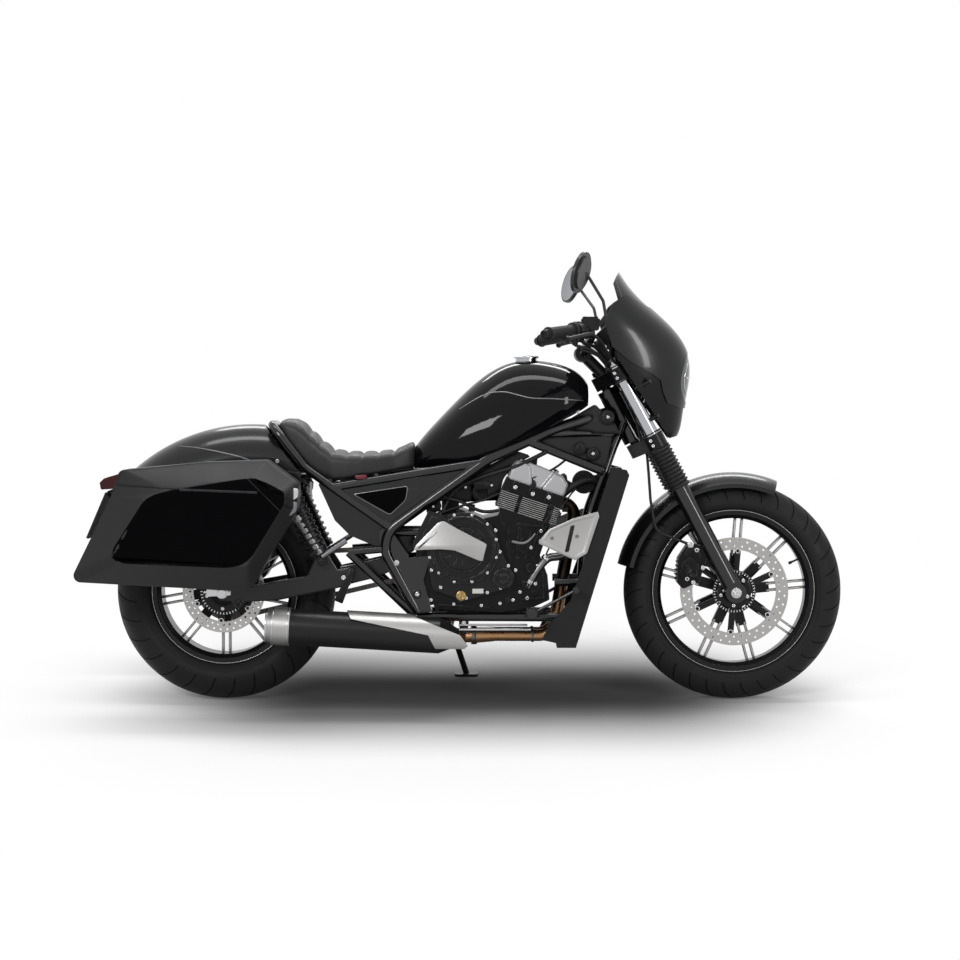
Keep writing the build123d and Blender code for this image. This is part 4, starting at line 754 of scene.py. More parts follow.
# columns: x, top z, bottom z, half width
seat_sections = [
    (-586, 806, 800, 84), (-578, 820, 782, 90), (-562, 826, 758, 96), (-533, 825, 716, 102),
    (-512, 815, 690, 106), (-491.8, 797, 672, 110), (-460, 766, 652, 118), (-425.6, 738, 643, 128),
    (-384, 731, 648, 131),
    (-339.9, 730, 656, 131), (-295.7, 731, 663, 127), (-248.9, 736, 670, 118), (-222, 746, 674, 107),
    (-204, 755, 677, 96), (-193, 757, 679, 86), (-188, 745, 690, 78),
]
seat_channels = (-491.8, -460, -425.6, -384, -339.9, -295.7, -248.9)
SEAT_STEPS = 120
SEAT_ACROSS = 36
SEAT_BELT = 26


def seat_row(x):
    """Top, bottom and half width of the seat at x, between the rows of the table."""
    for low, high in zip(seat_sections, seat_sections[1:]):
        if low[0] <= x <= high[0]:
            share = (x - low[0]) / (high[0] - low[0])
            return [a + (b - a) * share for a, b in zip(low[1:], high[1:])]
    return list(seat_sections[0][1:] if x < seat_sections[0][0] else seat_sections[-1][1:])


def seat_sink(x, away):
    """How deep the sewn channels pull the cover in, at x and at this share of the half width."""
    sink = 0.0
    for channel in seat_channels:
        near = (x - channel) / 7.5
        sink += 6.0 * math.exp(-near * near) * (1 - 0.75 * max(0.0, away - 0.62) / 0.38)
        crease = (x - channel) / 2.2
        sink += 3.0 * math.exp(-crease * crease) * (1 if away < 0.97 else 0.2)
    piping = (away - 0.80) / 0.020
    ends = min(1.0, max(0.0, (x + 545) / 30)) * min(1.0, max(0.0, (-215 - x) / 20))
    return sink * (1 if away < 0.80 else 0.45) + 2.6 * math.exp(-piping * piping) * ends


def make_seat():
    """A crowned, padded seat: a tube of rings along x, pulled in at the channels."""
    start, end = seat_sections[0][0], seat_sections[-1][0]
    let_go()
    bpy.ops.mesh.primitive_cylinder_add(vertices=SEAT_ACROSS + SEAT_BELT, radius=1, depth=2,
                                        end_fill_type="NGON")
    piece = bpy.context.object
    edit(piece)
    for number in range(1, SEAT_STEPS):
        cut((0, 0, -1 + 2 * number / SEAT_STEPS), (0, 0, 1))
    leave_edit()
    for vertex in piece.data.vertices:
        x = start + (end - start) * (vertex.co.z + 1) / 2
        top, bottom, half = seat_row(x)
        around = math.atan2(vertex.co.y, vertex.co.x)
        across, up = math.cos(around), math.sin(around)
        # A squared oval: flat below, crowned above with padded shoulders.
        power = 0.42 if up > 0 else 0.3
        y = half * math.copysign(abs(across) ** (0.62 if up > 0 else 0.4), across)
        middle = bottom + (top - bottom) * 0.42
        crown = 1 - 0.10 * (abs(y) / half) ** 2
        rise = (top - middle) * crown if up > 0 else bottom - middle
        z = middle + rise * abs(up) ** power
        away = abs(y) / half
        if up > 0:
            pull = seat_sink(x, away) * min(1.0, up * 2.2)
            z -= pull
            y -= math.copysign(pull * 0.35 * away, y)
        vertex.co = (x * MM, y * MM, z * MM)
    modify(piece, "SUBSURF", levels=1, subdivision_type="CATMULL_CLARK")
    dress([piece], "padded_seat", "chassis", seat_cover, 60)
    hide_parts("seat")


make_seat()


def make_seat_base():
    """The seat's pan and the red tab under its edge."""
    parts = [plate([(-425, 641), (-196, 677), (-194, 668), (-425, 632)], side * 112, side * 118, 2, 0.5)
             for side in SIDES]
    dress(parts, "seat_pan_edge", "chassis", shroud_plastic)
    parts = [plate([(-361, 656), (-358, 662), (-328, 664), (-325, 656), (-332, 651), (-354, 650)],
                   side * 132, side * 139, 2, 1.2) for side in SIDES]
    dress(parts, "seat_release_tab", "chassis", marker_red)


make_seat_base()


# ---------------------------------------------------------------- side bags

BAG_FACE = 394.0
BAG_SLOPE = 59                  # from the face in to the shoulder
SEAM_HALF = 1.6
inlay_outline = [(-1038, 447), (-1013, 422), (-694, 408), (-646, 427), (-539, 600), (-550, 625),
                 (-618, 659), (-652, 661), (-878, 625), (-934, 608)]
seam_run = [(-1250, 640), (-1032, 640), (-849, 629), (-610, 620), (-525, 571), (-440, 522)]


def seam_height(x):
    for (x_low, z_low), (x_high, z_high) in zip(seam_run, seam_run[1:]):
        if x_low <= x <= x_high:
            return z_low + (z_high - z_low) * (x - x_low) / (x_high - x_low)
    return seam_run[-1][1]


def bag_skin(x, z):
    """How far out the bag's face lies at x, z: flat inside the panel, sloping off to the shoulder."""
    # columns: corner of the bag's outline, corner of the flat panel
    rows = [((-1158, 366), (-1040, 424)), ((-1040, 607), (-938, 604)), ((-1016, 682), (-878, 626)),
            ((-780, 704), (-760, 646)), ((-602, 710), (-632, 661)), ((-512, 644), (-546, 620)),
            ((-514, 570), (-546, 590)), ((-652, 338), (-652, 412))]
    inside = 1e9
    for (outer_a, inner_a), (outer_b, inner_b) in zip(rows, rows[1:] + rows[:1]):
        run = Vector(inner_b) - Vector(inner_a)
        normal = Vector((-run.y, run.x)).normalized()
        off = (Vector((x, z)) - Vector(inner_a)).dot(normal)
        middle = (Vector(outer_a) + Vector(outer_b)) / 2 - (Vector(inner_a) + Vector(inner_b)) / 2
        width = abs(middle.dot(normal))
        sign = 1 if middle.dot(normal) > 0 else -1
        inside = min(inside, -sign * off / max(width, 1))
    return BAG_FACE - BAG_SLOPE * min(1.0, max(0.0, -inside))


def make_inlay(side, name, body, keep_low):
    """The glossy inlay of a bag's face: one half lies on the box, the other on the lid."""
    let_go()
    bpy.ops.mesh.primitive_circle_add(vertices=len(inlay_outline), radius=1, fill_type="NGON")
    piece = bpy.context.object
    for vertex, (x, z) in zip(piece.data.vertices, inlay_outline):
        vertex.co = (x * MM, 0, z * MM)
    edit(piece, "VERT")
    select_whole()
    bpy.ops.mesh.bevel(offset=0.026, affect="VERTICES", segments=6)
    # Cut it along the lid's seam and drop the half that isn't wanted, with the seam's gap.
    drop = SEAM_HALF if keep_low else -SEAM_HALF
    for (x_low, z_low), (x_high, z_high) in zip(seam_run[1:], seam_run[2:]):
        cut((x_low * MM, 0, (z_low - drop) * MM), (z_low - z_high, 0, x_high - x_low))
    for x in (-849, -610):
        cut((x * MM, 0, 0), (1, 0, 0))

    def unwanted(face):
        spot = face.calc_center_median()
        return (spot.z / MM > seam_height(spot.x / MM) - drop) == keep_low

    bpy.ops.mesh.select_mode(type="FACE")
    pick(piece, "faces", unwanted)
    bpy.ops.mesh.delete(type="FACE")
    select_whole()
    bpy.ops.mesh.dissolve_limited(angle_limit=0.01)
    select_whole()
    bpy.ops.mesh.quads_convert_to_tris()
    # A grid of cuts lets the inlay follow the bag's face.
    for x in range(-1030, -530, 25):
        cut((x * MM, 0, 0), (1, 0, 0))
    for z in range(415, 668, 23):
        cut((0, 0, z * MM), (0, 0, 1))
    leave_edit()
    for vertex in piece.data.vertices:
        vertex.co.y = side * (bag_skin(vertex.co.x / MM, vertex.co.z / MM) + 0.2) * MM
    edit(piece)
    select_whole()
    extrude((0, side * 1.3 * MM, 0))
    leave_facing_out()
    dress([piece], name, body, inlay_gloss, 30)


for side, hand in HANDS:
    make_inlay(side, f"bag_inlay_{hand}", "chassis", True)
    make_inlay(side, f"lid_inlay_{hand}", f"bag_lid_{hand}", False)


def make_bag_latches():
    """The catch and the lid's handle at each bag's front, with the key barrel."""
    for side, hand in HANDS:
        catch = plate([(-548, 566), (-526, 596), (-512, 590), (-516, 566), (-534, 552)], side * 338,
                      side * 352, 4, 1.5)
        dress([catch], f"bag_catch_{hand}", "chassis", dull_steel)
        bar = plate([(-546, 612), (-528, 634), (-509, 628), (-511, 606), (-530, 594)], side * 338,
                    side * 353, 4, 1.5)
        dress([bar], f"bag_handle_{hand}", f"bag_lid_{hand}", bright_steel)
        barrel = knob((-536, side * 350, 622), (-536, side * 356, 622), 6, 0.8, 20, 1.5)
        dress([barrel], f"bag_lock_{hand}", f"bag_lid_{hand}", bright_steel)


make_bag_latches()


# ---------------------------------------------------------------- engine

ENGINE_LEAN = math.radians(18)
ENGINE_X, ENGINE_Z = 130, 545   # the middle of the barrel's foot
FIN_COUNT = 9
FIN_PITCH = 5.8
FIN_EDGE = 1.7
COVER_FACE = -150.2             # where the clutch cover's screws seat
CASE_FACE = -128.2              # where the crankcase's screws seat
CLUTCH_X, CLUTCH_Z = -47, 451
PUMP_X, PUMP_Z = 71, 364
GENERATOR_X, GENERATOR_Z = 50, 400
PLUG_X, PLUG_Z = -53, 314       # the sight plug in the right cover


def engine_spot(along, up, y):
    """A point along the fins and up the bores, from the foot of the cylinders."""
    return (ENGINE_X + along * math.cos(ENGINE_LEAN) + up * math.sin(ENGINE_LEAN), y,
            ENGINE_Z - along * math.sin(ENGINE_LEAN) + up * math.cos(ENGINE_LEAN))


def engine_outline(points):
    spots = [engine_spot(along, up, 0) for along, up in points]
    return [(x, z) for x, _, z in spots]


def both_sides(make):
    """What make builds for the right side and for the left."""
    return [part for side in SIDES for part in make(side)]


def make_fin_edges():
    """The machined edges of the cooling fins, in two banks."""
    def build(side):
        parts = []
        for number in range(FIN_COUNT):
            low = 1.5 + number * FIN_PITCH
            for start, end in ((-86, -32), (-20, 56), (76, 94)):
                outline = engine_outline([(start, low), (end, low), (end, low + FIN_EDGE),
                                          (start, low + FIN_EDGE)])
                parts.append(plate(outline, side * 124, side * 124.9, 0, 0))
        return parts
    dress(both_sides(build), "fin_edges", "chassis", plate_silver)


make_fin_edges()


def make_head_dress():
    """Screws, cam plugs and coolant unions on the cylinder head."""
    places = [engine_spot(along, up, -125.2) for along, up in ((4.6, 67), (-50, 70), (52, 72))]
    bolt_set("head_lug_bolts_right", places, (0, -1, 0), 6.5, 5, "chassis", bright_steel)
    places = [(x, -y, z) for x, y, z in places]
    bolt_set("head_lug_bolts_left", places, (0, 1, 0), 6.5, 5, "chassis", bright_steel)
    across = Vector(engine_spot(0, 1, 0)) - Vector(engine_spot(0, 0, 0))
    places = [engine_spot(along, 147, y) for along in (-56, 52) for y in (-92, -30, 30, 92)]
    bolt_set("cover_screws", places, across, 6, 6, "chassis", dull_steel)
    parts = [knob(engine_spot(-8, 92, side * 112), engine_spot(-8, 92, side * 119), 15, 2, 28, 4)
             for side in SIDES]
    dress(parts, "cam_plugs", "chassis", cover_black)
    parts = [knob(engine_spot(88, 30 + 26 * row, side * 60), engine_spot(104, 30 + 26 * row, side * 60), 9, 2)
             for side in SIDES for row in (0, 1)]
    dress(parts, "coolant_unions", "chassis", dull_steel)


make_head_dress()


def make_clutch_dress():
    """The silver panel, the rings and the screws of the right cover."""
    panel = [(-190.4, 447.1), (-183.2, 461.5), (-118.5, 527.5), (-102, 531.9), (-68.2, 511.8),
             (21.7, 465.1), (9.5, 414.7), (-3.5, 418.3), (-72, 447), (-112, 450)]
    piece = plate(panel, -186, -189.2, 5, 1.4)
    dress([piece], "cover_panel", "chassis", plate_silver)
    rim = plate([(-181, 452), (-126, 503), (-121, 499), (-172, 452)], -189.1, -189.9, 1, 0.3)
    dress([rim], "panel_crease", "chassis", cast_silver)
    parts = [ring(CLUTCH_X, -167.6, -171.5, CLUTCH_Z, 86.5, 93.5, 1.6, 72),
             ring(CLUTCH_X, -165.5, -168.5, CLUTCH_Z, 64, 70, 1.2, 64),
             ring(CLUTCH_X, -169.5, -172, CLUTCH_Z, 16, 22, 0.8, 40),
             ring(PUMP_X, -159.5, -163.5, PUMP_Z, 23, 29, 1.2, 48),
             ring(PUMP_X, -160.5, -165, PUMP_Z, 9, 13, 0.8, 32)]
    for number in range(12):
        turn = number * math.tau / 12
        x, z = CLUTCH_X + 47 * math.cos(turn), CLUTCH_Z + 47 * math.sin(turn)
        rib = plate([(x - 2, z - 14), (x + 2, z - 14), (x + 2, z + 14), (x - 2, z + 14)], -165.8, -168.6,
                    0, 0.6)
        put_round(rib, x, z, math.pi / 2 - turn)
        parts.append(rib)
    dress(parts, "cover_rings", "chassis", cover_black)
    places = circle_places(CLUTCH_X, -162.2, CLUTCH_Z, 99.3, 12, 15)
    bolt_set("cover_ring_bolts", places, (0, -1, 0), 4.6, 5, "chassis", bright_steel)
    edge = [(47, 503), (59.4, 441), (84, 400), (96, 366), (23.3, 323), (-38, 307), (-112, 338),
            (-138, 388), (62, 336)]
    bolt_set("cover_edge_bolts", [(x, COVER_FACE, z) for x, z in edge], (0, -1, 0), 5.4, 6, "chassis",
             bright_steel)
    case = [(104.9, 386), (118, 323), (97.7, 300), (138.9, 305), (162.7, 347), (168, 398), (150, 452),
            (-74, 288), (6, 284), (60, 290), (179, 500), (-140, 300)]
    bolt_set("case_bolts_right", [(x, CASE_FACE, z) for x, z in case], (0, -1, 0), 5.4, 6, "chassis",
             bright_steel)
    bolt_set("case_bolts_left", [(x, -CASE_FACE, z) for x, z in case if z < 330 or x > 140], (0, 1, 0),
             5.4, 6, "chassis", bright_steel)
    bar = [(PLUG_X + x, PLUG_Z + z) for x, z in ((-2, -8), (2, -8), (2, 8), (-2, 8))]
    plug = [knob((PLUG_X, -156, PLUG_Z), (PLUG_X, -159, PLUG_Z), 14.2, 1, 40, 1.2),
            ring(PLUG_X, -157, -160.5, PLUG_Z, 8.5, 11.5, 0.5, 36), plate(bar, -157.5, -159.5, 0, 0.3)]
    dress(plug, "sight_plug", "chassis", brass)
    label = plate([(-20, 320), (12, 320), (12, 334), (-20, 334)], COVER_FACE, COVER_FACE - 0.5, 1, 0)
    dress([label], "plain_label", "chassis", label_white)


make_clutch_dress()


# columns: one end, the other end, half width
case_ribs = [
    ((108, 520), (196, 508), 4), ((60, 548), (100, 430), 3.5), ((174, 500), (150, 430), 4),
    ((150, 430), (186, 372), 4), ((186, 372), (190, 306), 4), ((120, 300), (186, 306), 4),
    ((-160, 340), (-120, 286), 4), ((-120, 284), (50, 274), 4), ((-168, 424), (-158, 494), 4),
    ((-158, 494), (-118, 530), 4), ((-118, 530), (-50, 548), 4), ((118, 444), (168, 420), 3),
]
# columns: x, z, radius, how far it stands out
case_bosses = [(150, 392, 17, 9), (134, 345, 12, 7), (160, 320, 10, 6), (120, 480, 11, 5), (84, 300, 9, 6)]


def make_case_relief():
    """Cast ribs and bosses on both sides of the crankcase, and the rings on the generator's cover."""
    def build(side):
        parts = []
        for (x_low, z_low), (x_high, z_high), wide in case_ribs:
            run = Vector((x_high - x_low, z_high - z_low)).normalized() * wide
            outline = [(x_low - run.y, z_low + run.x), (x_high - run.y, z_high + run.x),
                       (x_high + run.y, z_high - run.x), (x_low + run.y, z_low - run.x)]
            parts.append(plate(outline, side * 127, side * 133.5, 2, 1.6))
        for x, z, radius, out in case_bosses:
            parts.append(knob((x, side * 127, z), (x, side * (128 + out), z), radius, 2, 28, 2))
        return parts
    dress(both_sides(build), "case_ribs", "chassis", cast_black)
    cover = [ring(GENERATOR_X, 171, 175, GENERATOR_Z, 44, 52, 1.4, 56),
             knob((GENERATOR_X, 170, GENERATOR_Z), (GENERATOR_X, 174, GENERATOR_Z), 18, 1.4, 36, 2)]
    dress(cover, "generator_rings", "chassis", cover_black)
    places = circle_places(GENERATOR_X, 166.2, GENERATOR_Z, 79, 10, 10)
    bolt_set("generator_bolts", places, (0, 1, 0), 5, 5, "chassis", bright_steel)


make_case_relief()


# columns: name, radius, finish, route
hose_table = [
    ("coolant_hose_right", 12.0, "steel", [(262, -108, 436), (232, -112, 424), (200, -120, 424),
                                           (176, -126, 398), (156, -126, 368), (140, -122, 336)]),
    ("coolant_hose_left", 13.0, "rubber", [(286, 96, 612), (250, 104, 640), (214, 100, 618), (196, 84, 596)]),
    ("coolant_pipe_top", 11.0, "rubber", [(372, -60, 628), (330, -84, 652), (280, -96, 636),
                                          (242, -92, 604), (222, -76, 590)]),
    ("breather_hose", 7.0, "rubber", [(96, -60, 690), (60, -84, 676), (12, -92, 650), (-38, -84, 632),
                                      (-70, -70, 630)]),
    ("fuel_line", 4.5, "rubber", [(30, -60, 704), (24, -86, 672), (-2, -94, 640), (2, -80, 612)]),
    ("clutch_cable", 3.5, "rubber", [(300, -50, 760), (250, -96, 690), (120, -116, 640), (20, -118, 590),
                                     (-60, -122, 572), (-112, -128, 552)]),
    ("loom_upper", 6.5, "rubber", [(196, -110, 730), (120, -118, 690), (40, -112, 668), (-40, -100, 640),
                                   (-90, -96, 600), (-104, -100, 556)]),
    ("loom_lower", 5.0, "rubber", [(-104, -104, 596), (-60, -112, 590), (-20, -118, 566), (20, -122, 552),
                                   (56, -124, 560)]),
    ("oil_pipe", 5.0, "steel", [(94, -132, 470), (120, -134, 462), (146, -132, 470), (162, -128, 492)]),
    ("sensor_wire", 2.4, "rubber", [(172, -128, 500), (196, -124, 540), (232, -120, 560),
                                    (262, -110, 600), (300, -90, 650)]),
    ("sensor_wire_two", 2.4, "rubber", [(128, -130, 330), (160, -134, 360), (184, -130, 400),
                                        (200, -120, 452), (236, -112, 500)]),
    ("drain_hose", 4.0, "rubber", [(-110, -112, 560), (-150, -104, 520), (-160, -104, 440),
                                   (-150, -108, 330), (-120, -116, 262)]),
]


def make_hoses():
    for name, radius, kind, route in hose_table:
        finish = dull_steel if kind == "steel" else soft_rubber
        tube(route, radius, name, "chassis", finish)
    rows = [((258, -108.5, 434), (248, -110, 430), 14.5), ((196, -121, 421), (189, -123.5, 415), 14.5),
            ((150, -124.6, 357), (146, -123.6, 348), 14.5), ((280, 98, 620), (272, 100, 627), 15.5)]
    clamps = [knob(start, end, radius, 0.8, 32) for start, end, radius in rows]
    dress(clamps, "hose_clamps", "chassis", bright_steel)


make_hoses()


def make_throttle_dress():
    """Boxes, rails, connectors and brackets between the barrels and the frame spar."""
    def build(side):
        near, far = side * 84, side * 92
        return [plate([(-134, 588), (-30, 584), (-30, 632), (-118, 638)], near, far, 5, 2),
                 plate([(-16, 618), (44, 622), (44, 646), (-16, 642)], side * 50, side * 104, 4, 2),
                 plate([(-92, 650), (-30, 664), (-30, 690), (-92, 672)], side * 40, side * 96, 4, 2),
                 plate([(-150, 540), (-112, 560), (-118, 590), (-156, 566)], side * 60, side * 100, 4, 2),
                 plate([(100, 660), (168, 690), (170, 712), (96, 690)], side * 30, side * 84, 4, 2),
                 plate([(228, 610), (262, 622), (254, 664), (222, 650)], side * 50, side * 88, 4, 2),
                 knob((6, side * 50, 610), (6, side * 76, 610), 27, 2, 36, 4),
                 knob((34, side * 46, 612), (34, side * 92, 612), 8, 1.5, 20),
                 knob((-20, side * 60, 652), (60, side * 60, 668), 8, 1.5, 20)]
    dress(both_sides(build), "intake_boxes", "chassis", cast_black)

    def connectors(side):
        rows = [(-58, 556, 118), (-22, 562, 120), (-86, 612, 96), (22, 634, 106), (210, 560, 122),
                (196, 470, 130), (-128, 520, 130), (250, 560, 104)]
        return [plate([(x - 9, z - 6), (x + 9, z - 6), (x + 9, z + 6), (x - 9, z + 6)], side * (y - 10),
                      side * y, 2, 1.2) for x, z, y in rows]
    dress(both_sides(connectors), "loom_plugs", "chassis", shroud_plastic)
    places = [(-124, -92.2, 600), (-40, -92.2, 626), (-86, -96.2, 662), (36, -104.2, 632),
              (-134, -100.2, 570), (150, -84.2, 694)]
    bolt_set("intake_bolts", places, (0, -1, 0), 4, 4, "chassis", bright_steel)


make_throttle_dress()


def make_lower_pipes():
    """The bright rods under the frame rail, the header's clamps and the pipe brackets."""
    rods = [knob((-70, -122, 213), (150, -122, 213), 4.5, 1, 20),
            knob((-60, -118, 226), (140, -118, 226), 3.5, 1, 16)]
    dress(rods, "pedal_rods", "chassis", bright_steel)
    # The slip joint's clamp and a collar on each branch of the header.
    parts = [knob((-24, -42, 190), (-8, -40, 190), 27, 2, 40),
             knob((152, -46, 190), (160, -46, 190), 20, 1.5, 32),
             knob((152, 46, 190), (160, 46, 190), 20, 1.5, 32)]
    dress(parts, "header_clamps", "chassis", dull_steel)
    parts = [plate([(-60, 244), (-30, 244), (-34, 200), (-56, 200)], -112, -118, 4, 1),
             plate([(-420, 300), (-376, 392), (-360, 388), (-396, 290)], -146, -152, 4, 1),
             plate([(130, 250), (176, 250), (170, 278), (136, 278)], -124, -136, 5, 2)]
    dress(parts, "pipe_brackets", "chassis", satin_black)
    bolt_set("bracket_bolts", [(-45, -118.2, 232), (-393, -152.2, 366), (153, -136.2, 264),
                               (-180, -138.4, 317)], (0, -1, 0), 7, 5, "chassis", bright_steel)


make_lower_pipes()


# ---------------------------------------------------------------- radiator

CORE_ROWS = 34
CORE_STEP_X, CORE_STEP_Z = 2.62, 9.1    # from one row of the core to the next


def make_radiator_dress():
    """Cooling tubes and fins, the silver plates' raised rims, screws and slots."""
    fins = []
    first = plate([(313, 352), (333, 346), (334, 348.4), (314, 354.4)], -98, 98, 0, 0)
    for number in range(1, CORE_ROWS):
        row = copy_of(first)
        row.data.transform(Matrix.Translation((CORE_STEP_X * number * MM, 0, CORE_STEP_Z * number * MM)))
        fins.append(row)
    fins.append(first)
    dress(fins, "radiator_fin_rows", "chassis", core_metal)
    for side, hand in HANDS:
        outline = [(342, 558), (307, 439), (275, 421), (173, 471), (200, 509), (269, 540)]
        piece = plate(outline, side * 214.5, side * 218, 0, 0)
        edit(piece)
        pick(piece, "faces", lambda face: face.calc_center_median().y * side > 0.2178)
        bpy.ops.mesh.inset(thickness=0.007, depth=0)
        bpy.ops.mesh.inset(thickness=0.003, depth=-0.0028)
        leave_edit()
        modify(piece, "BEVEL", width=0.0008, segments=2, limit_method="ANGLE", angle_limit=math.radians(25))
        dress([piece], f"plate_rim_{hand}", "chassis", plate_silver)
        slot = plate([(262, 519), (274, 521), (257, 445), (245, 443)], side * 214, side * 216.6, 2, 0.4)
        dress([slot], f"plate_slot_{hand}", "chassis", shroud_plastic)
        bolt_set(f"plate_bolts_{hand}", [(209, side * 215.4, 484), (280, side * 215.4, 489)],
                 (0, side, 0), 5.2, 3.5, "chassis", dull_steel)


make_radiator_dress()


# ---------------------------------------------------------------- wheels

SPOKES = 9
# columns: name, hub x, hub z, first spoke in degrees, inner end, outer end, rim line radius, rim line y, body
wheel_table = [
    ("front", FRONT_X, FRONT_Z, 5.0, 100, 211, 236, 50, "front_wheel"),
    ("rear", REAR_X, REAR_Z, -10.0, 100, 186, 211, 68, "rear_wheel"),
]


def around(piece, x, z, degrees):
    """Turn a piece counterclockwise, as seen from the right, about the axle at x, z."""
    put_round(piece, x, z, -math.radians(degrees))
    return piece


def make_wheel_dress(name, x, z, first, inner, outer, line, line_y, body):
    # The silver strips along each spoke's edges are machined faces and also a painted reflection of the
    # spokes' bright edges.
    faces = []
    for side in SIDES:
        for number in range(SPOKES):
            for aside in (-10.1, 10.1):
                outline = [(x + inner, z + aside - 2.6), (x + outer, z + aside - 2.6),
                           (x + outer, z + aside + 2.6), (x + inner, z + aside + 2.6)]
                bar = plate(outline, side * 12, side * 12.9, 0, 0.3)
                faces.append(around(bar, x, z, first + number * 360 / SPOKES))
    dress(faces, f"{name}_spoke_faces", body, plate_silver)
    # The silver ring on each rim is a machined line and also a painted highlight on the rim's lip.
    lines = [ring(x, side * line_y, side * (line_y + 0.6), z, line, line + 1.6, 0.2, 120) for side in SIDES]
    dress(lines, f"{name}_rim_line", body, plate_silver)
    # The valve, with its cap, between two spokes.
    turn = math.radians(first + 20)
    near, cap, far = [(x + reach * math.cos(turn), 0, z + reach * math.sin(turn))
                      for reach in (line - 24, line - 42, line - 52)]
    stem = [knob(near, far, 3, 0.5, 16), knob(cap, far, 4.4, 0.8, 16)]
    dress(stem, f"{name}_valve", body, soft_rubber)


for row in wheel_table:
    make_wheel_dress(*row)


# columns: name, hub x, hub z, disc y, disc inner radius, bobbins, bolts, bolt circle, toothed ring, body
disc_table = [
    ("front", FRONT_X, FRONT_Z, -70.0, 122.0, 6, 5, 41, 58, "front_wheel"),
    ("rear", REAR_X, REAR_Z, -92.0, 88.0, 6, 5, 50, 64, "rear_wheel"),
]
RING_TEETH = 44


def make_disc_dress(name, x, z, y, inner, bobbins, bolts, circle, tooth, body):
    face = y - 2.5
    arms = []
    for number in range(bobbins):
        outline = [(x + circle - 6, z - 9), (x + inner - 12, z - 7.5), (x + inner + 3, z - 5),
                   (x + inner + 3, z + 5), (x + inner - 12, z + 7.5), (x + circle - 6, z + 9)]
        arms.append(around(plate(outline, face + 0.2, face - 1.9, 3, 0.9), x, z, 25 + number * 360 / bobbins))
    arms.append(ring(x, face + 0.2, face - 3.6, z, circle - 12, circle + 9, 1.2, 64))
    dress(arms, f"{name}_disc_carrier", body, satin_black)
    buttons = []
    for number in range(bobbins):
        turn = math.radians(25 + number * 360 / bobbins)
        along, up = x + (inner - 3) * math.cos(turn), z + (inner - 3) * math.sin(turn)
        buttons.append(knob((along, face - 0.5, up), (along, face - 2.3, up), 7.5, 0.5, 24, 0.5))
    dress(buttons, f"{name}_disc_bobbins", body, bright_steel)
    bolt_set(f"{name}_disc_bolts", circle_places(x, face - 3.5, z, circle, bolts, 51), (0, -1, 0), 5.6,
             4.5, body, bright_steel)
    dress([ring(x, face - 0.5, face - 2.2, z, tooth - 5, tooth + 5, 0.3, 88)], f"{name}_speed_ring", body,
          satin_black)
    slots = []
    first = plate([(x + tooth - 3, z - 1.3), (x + tooth + 3.4, z - 1.6), (x + tooth + 3.4, z + 1.6),
                   (x + tooth - 3, z + 1.3)], face - 2.1, face - 2.5, 0, 0)
    for number in range(RING_TEETH):
        slots.append(around(copy_of(first), x, z, number * 360 / RING_TEETH))
    bpy.data.objects.remove(first)
    dress(slots, f"{name}_speed_slots", body, bright_steel)


for row in disc_table:
    make_disc_dress(*row)


def make_front_end():
    """The axle's nut, the pinch bolts, the caliper's bolts and the hose's banjo."""
    parts = []
    for side in SIDES:
        y = side * 141.2
        nut = knob((FRONT_X, y, FRONT_Z), (FRONT_X, y + side * 8, FRONT_Z), 12.5, 1.2, 6)
        parts += [nut, knob((FRONT_X, y, FRONT_Z), (FRONT_X, y + side * 12, FRONT_Z), 7.4, 0.8, 24, 5)]
    dress(parts, "axle_nuts", "steering", bright_steel)
    places = [fork_place(up, -26.5, side * FORK_HALF) for side in SIDES for up in (20, 42)]
    backward = Vector((-math.cos(RAKE), 0, -math.sin(RAKE)))
    bolt_set("axle_pinch_bolts", places, backward, 5, 5, "steering", bright_steel)
    rows = [(632, -113.2, 444), (650, -113.2, 392), (604, -113.2, 360), (622, -113.2, 350)]
    bolt_set("caliper_bolts", rows, (0, -1, 0), 7, 5, "steering", bright_steel)
    shell = [(580, 372), (600, 346), (634, 358), (640, 402), (612, 424), (588, 408)]
    bracket = [(590, 424), (606, 452), (640, 452), (644, 420), (616, 428)]
    parts = [plate(shell, -112.5, -118, 6, 2.4), plate(bracket, -112.5, -116.5, 5, 2),
             knob((598, -117, 388), (598, -120, 388), 13, 1.4, 32, 1.5),
             knob((622, -117, 378), (622, -120, 378), 11, 1.4, 32, 1.5)]
    for number in range(5):
        x, z = 574 - number * 1.5, 412 - number * 12
        parts.append(plate([(x, z), (x + 16, z - 4), (x + 16, z - 8.5), (x, z - 4.5)], -62, -111, 1, 0.8))
    dress(parts, "caliper_dress", "steering", cast_black)
    banjo = [knob((614, -113, 458), (614, -121, 458), 7, 1, 6),
             knob((614, -112, 458), (614, -116, 458), 9, 0.8, 24)]
    dress(banjo, "hose_banjo", "steering", bright_steel)


make_front_end()


def make_rear_end():
    """Axle nuts, chain adjusters and the bolts of the rear caliper."""
    parts = []
    for side in SIDES:
        y = side * 152
        parts += [knob((REAR_X, y, REAR_Z), (REAR_X, y + side * 9, REAR_Z), 14.5, 1.2, 6),
                  plate([(-790, 310), (-720, 314), (-720, 332), (-790, 334)], side * 142, side * 145, 3, 1),
                  knob((-800, side * 130, 322), (-772, side * 130, 322), 5, 0.8, 6)]
    dress(parts, "rear_axle_nuts", "chassis", bright_steel)
    bolt_set("rear_caliper_bolts", [(-684, -116.2, 410), (-650, -116.2, 428), (-634, -116.2, 396)],
             (0, -1, 0), 6, 5, "chassis", bright_steel)


make_rear_end()

SHOCK_Y = 157
COIL_RADIUS = 28.0
COIL_WIRE = 4.6
COIL_TURNS = 9.5
COIL_STEPS = 12                 # points in one turn


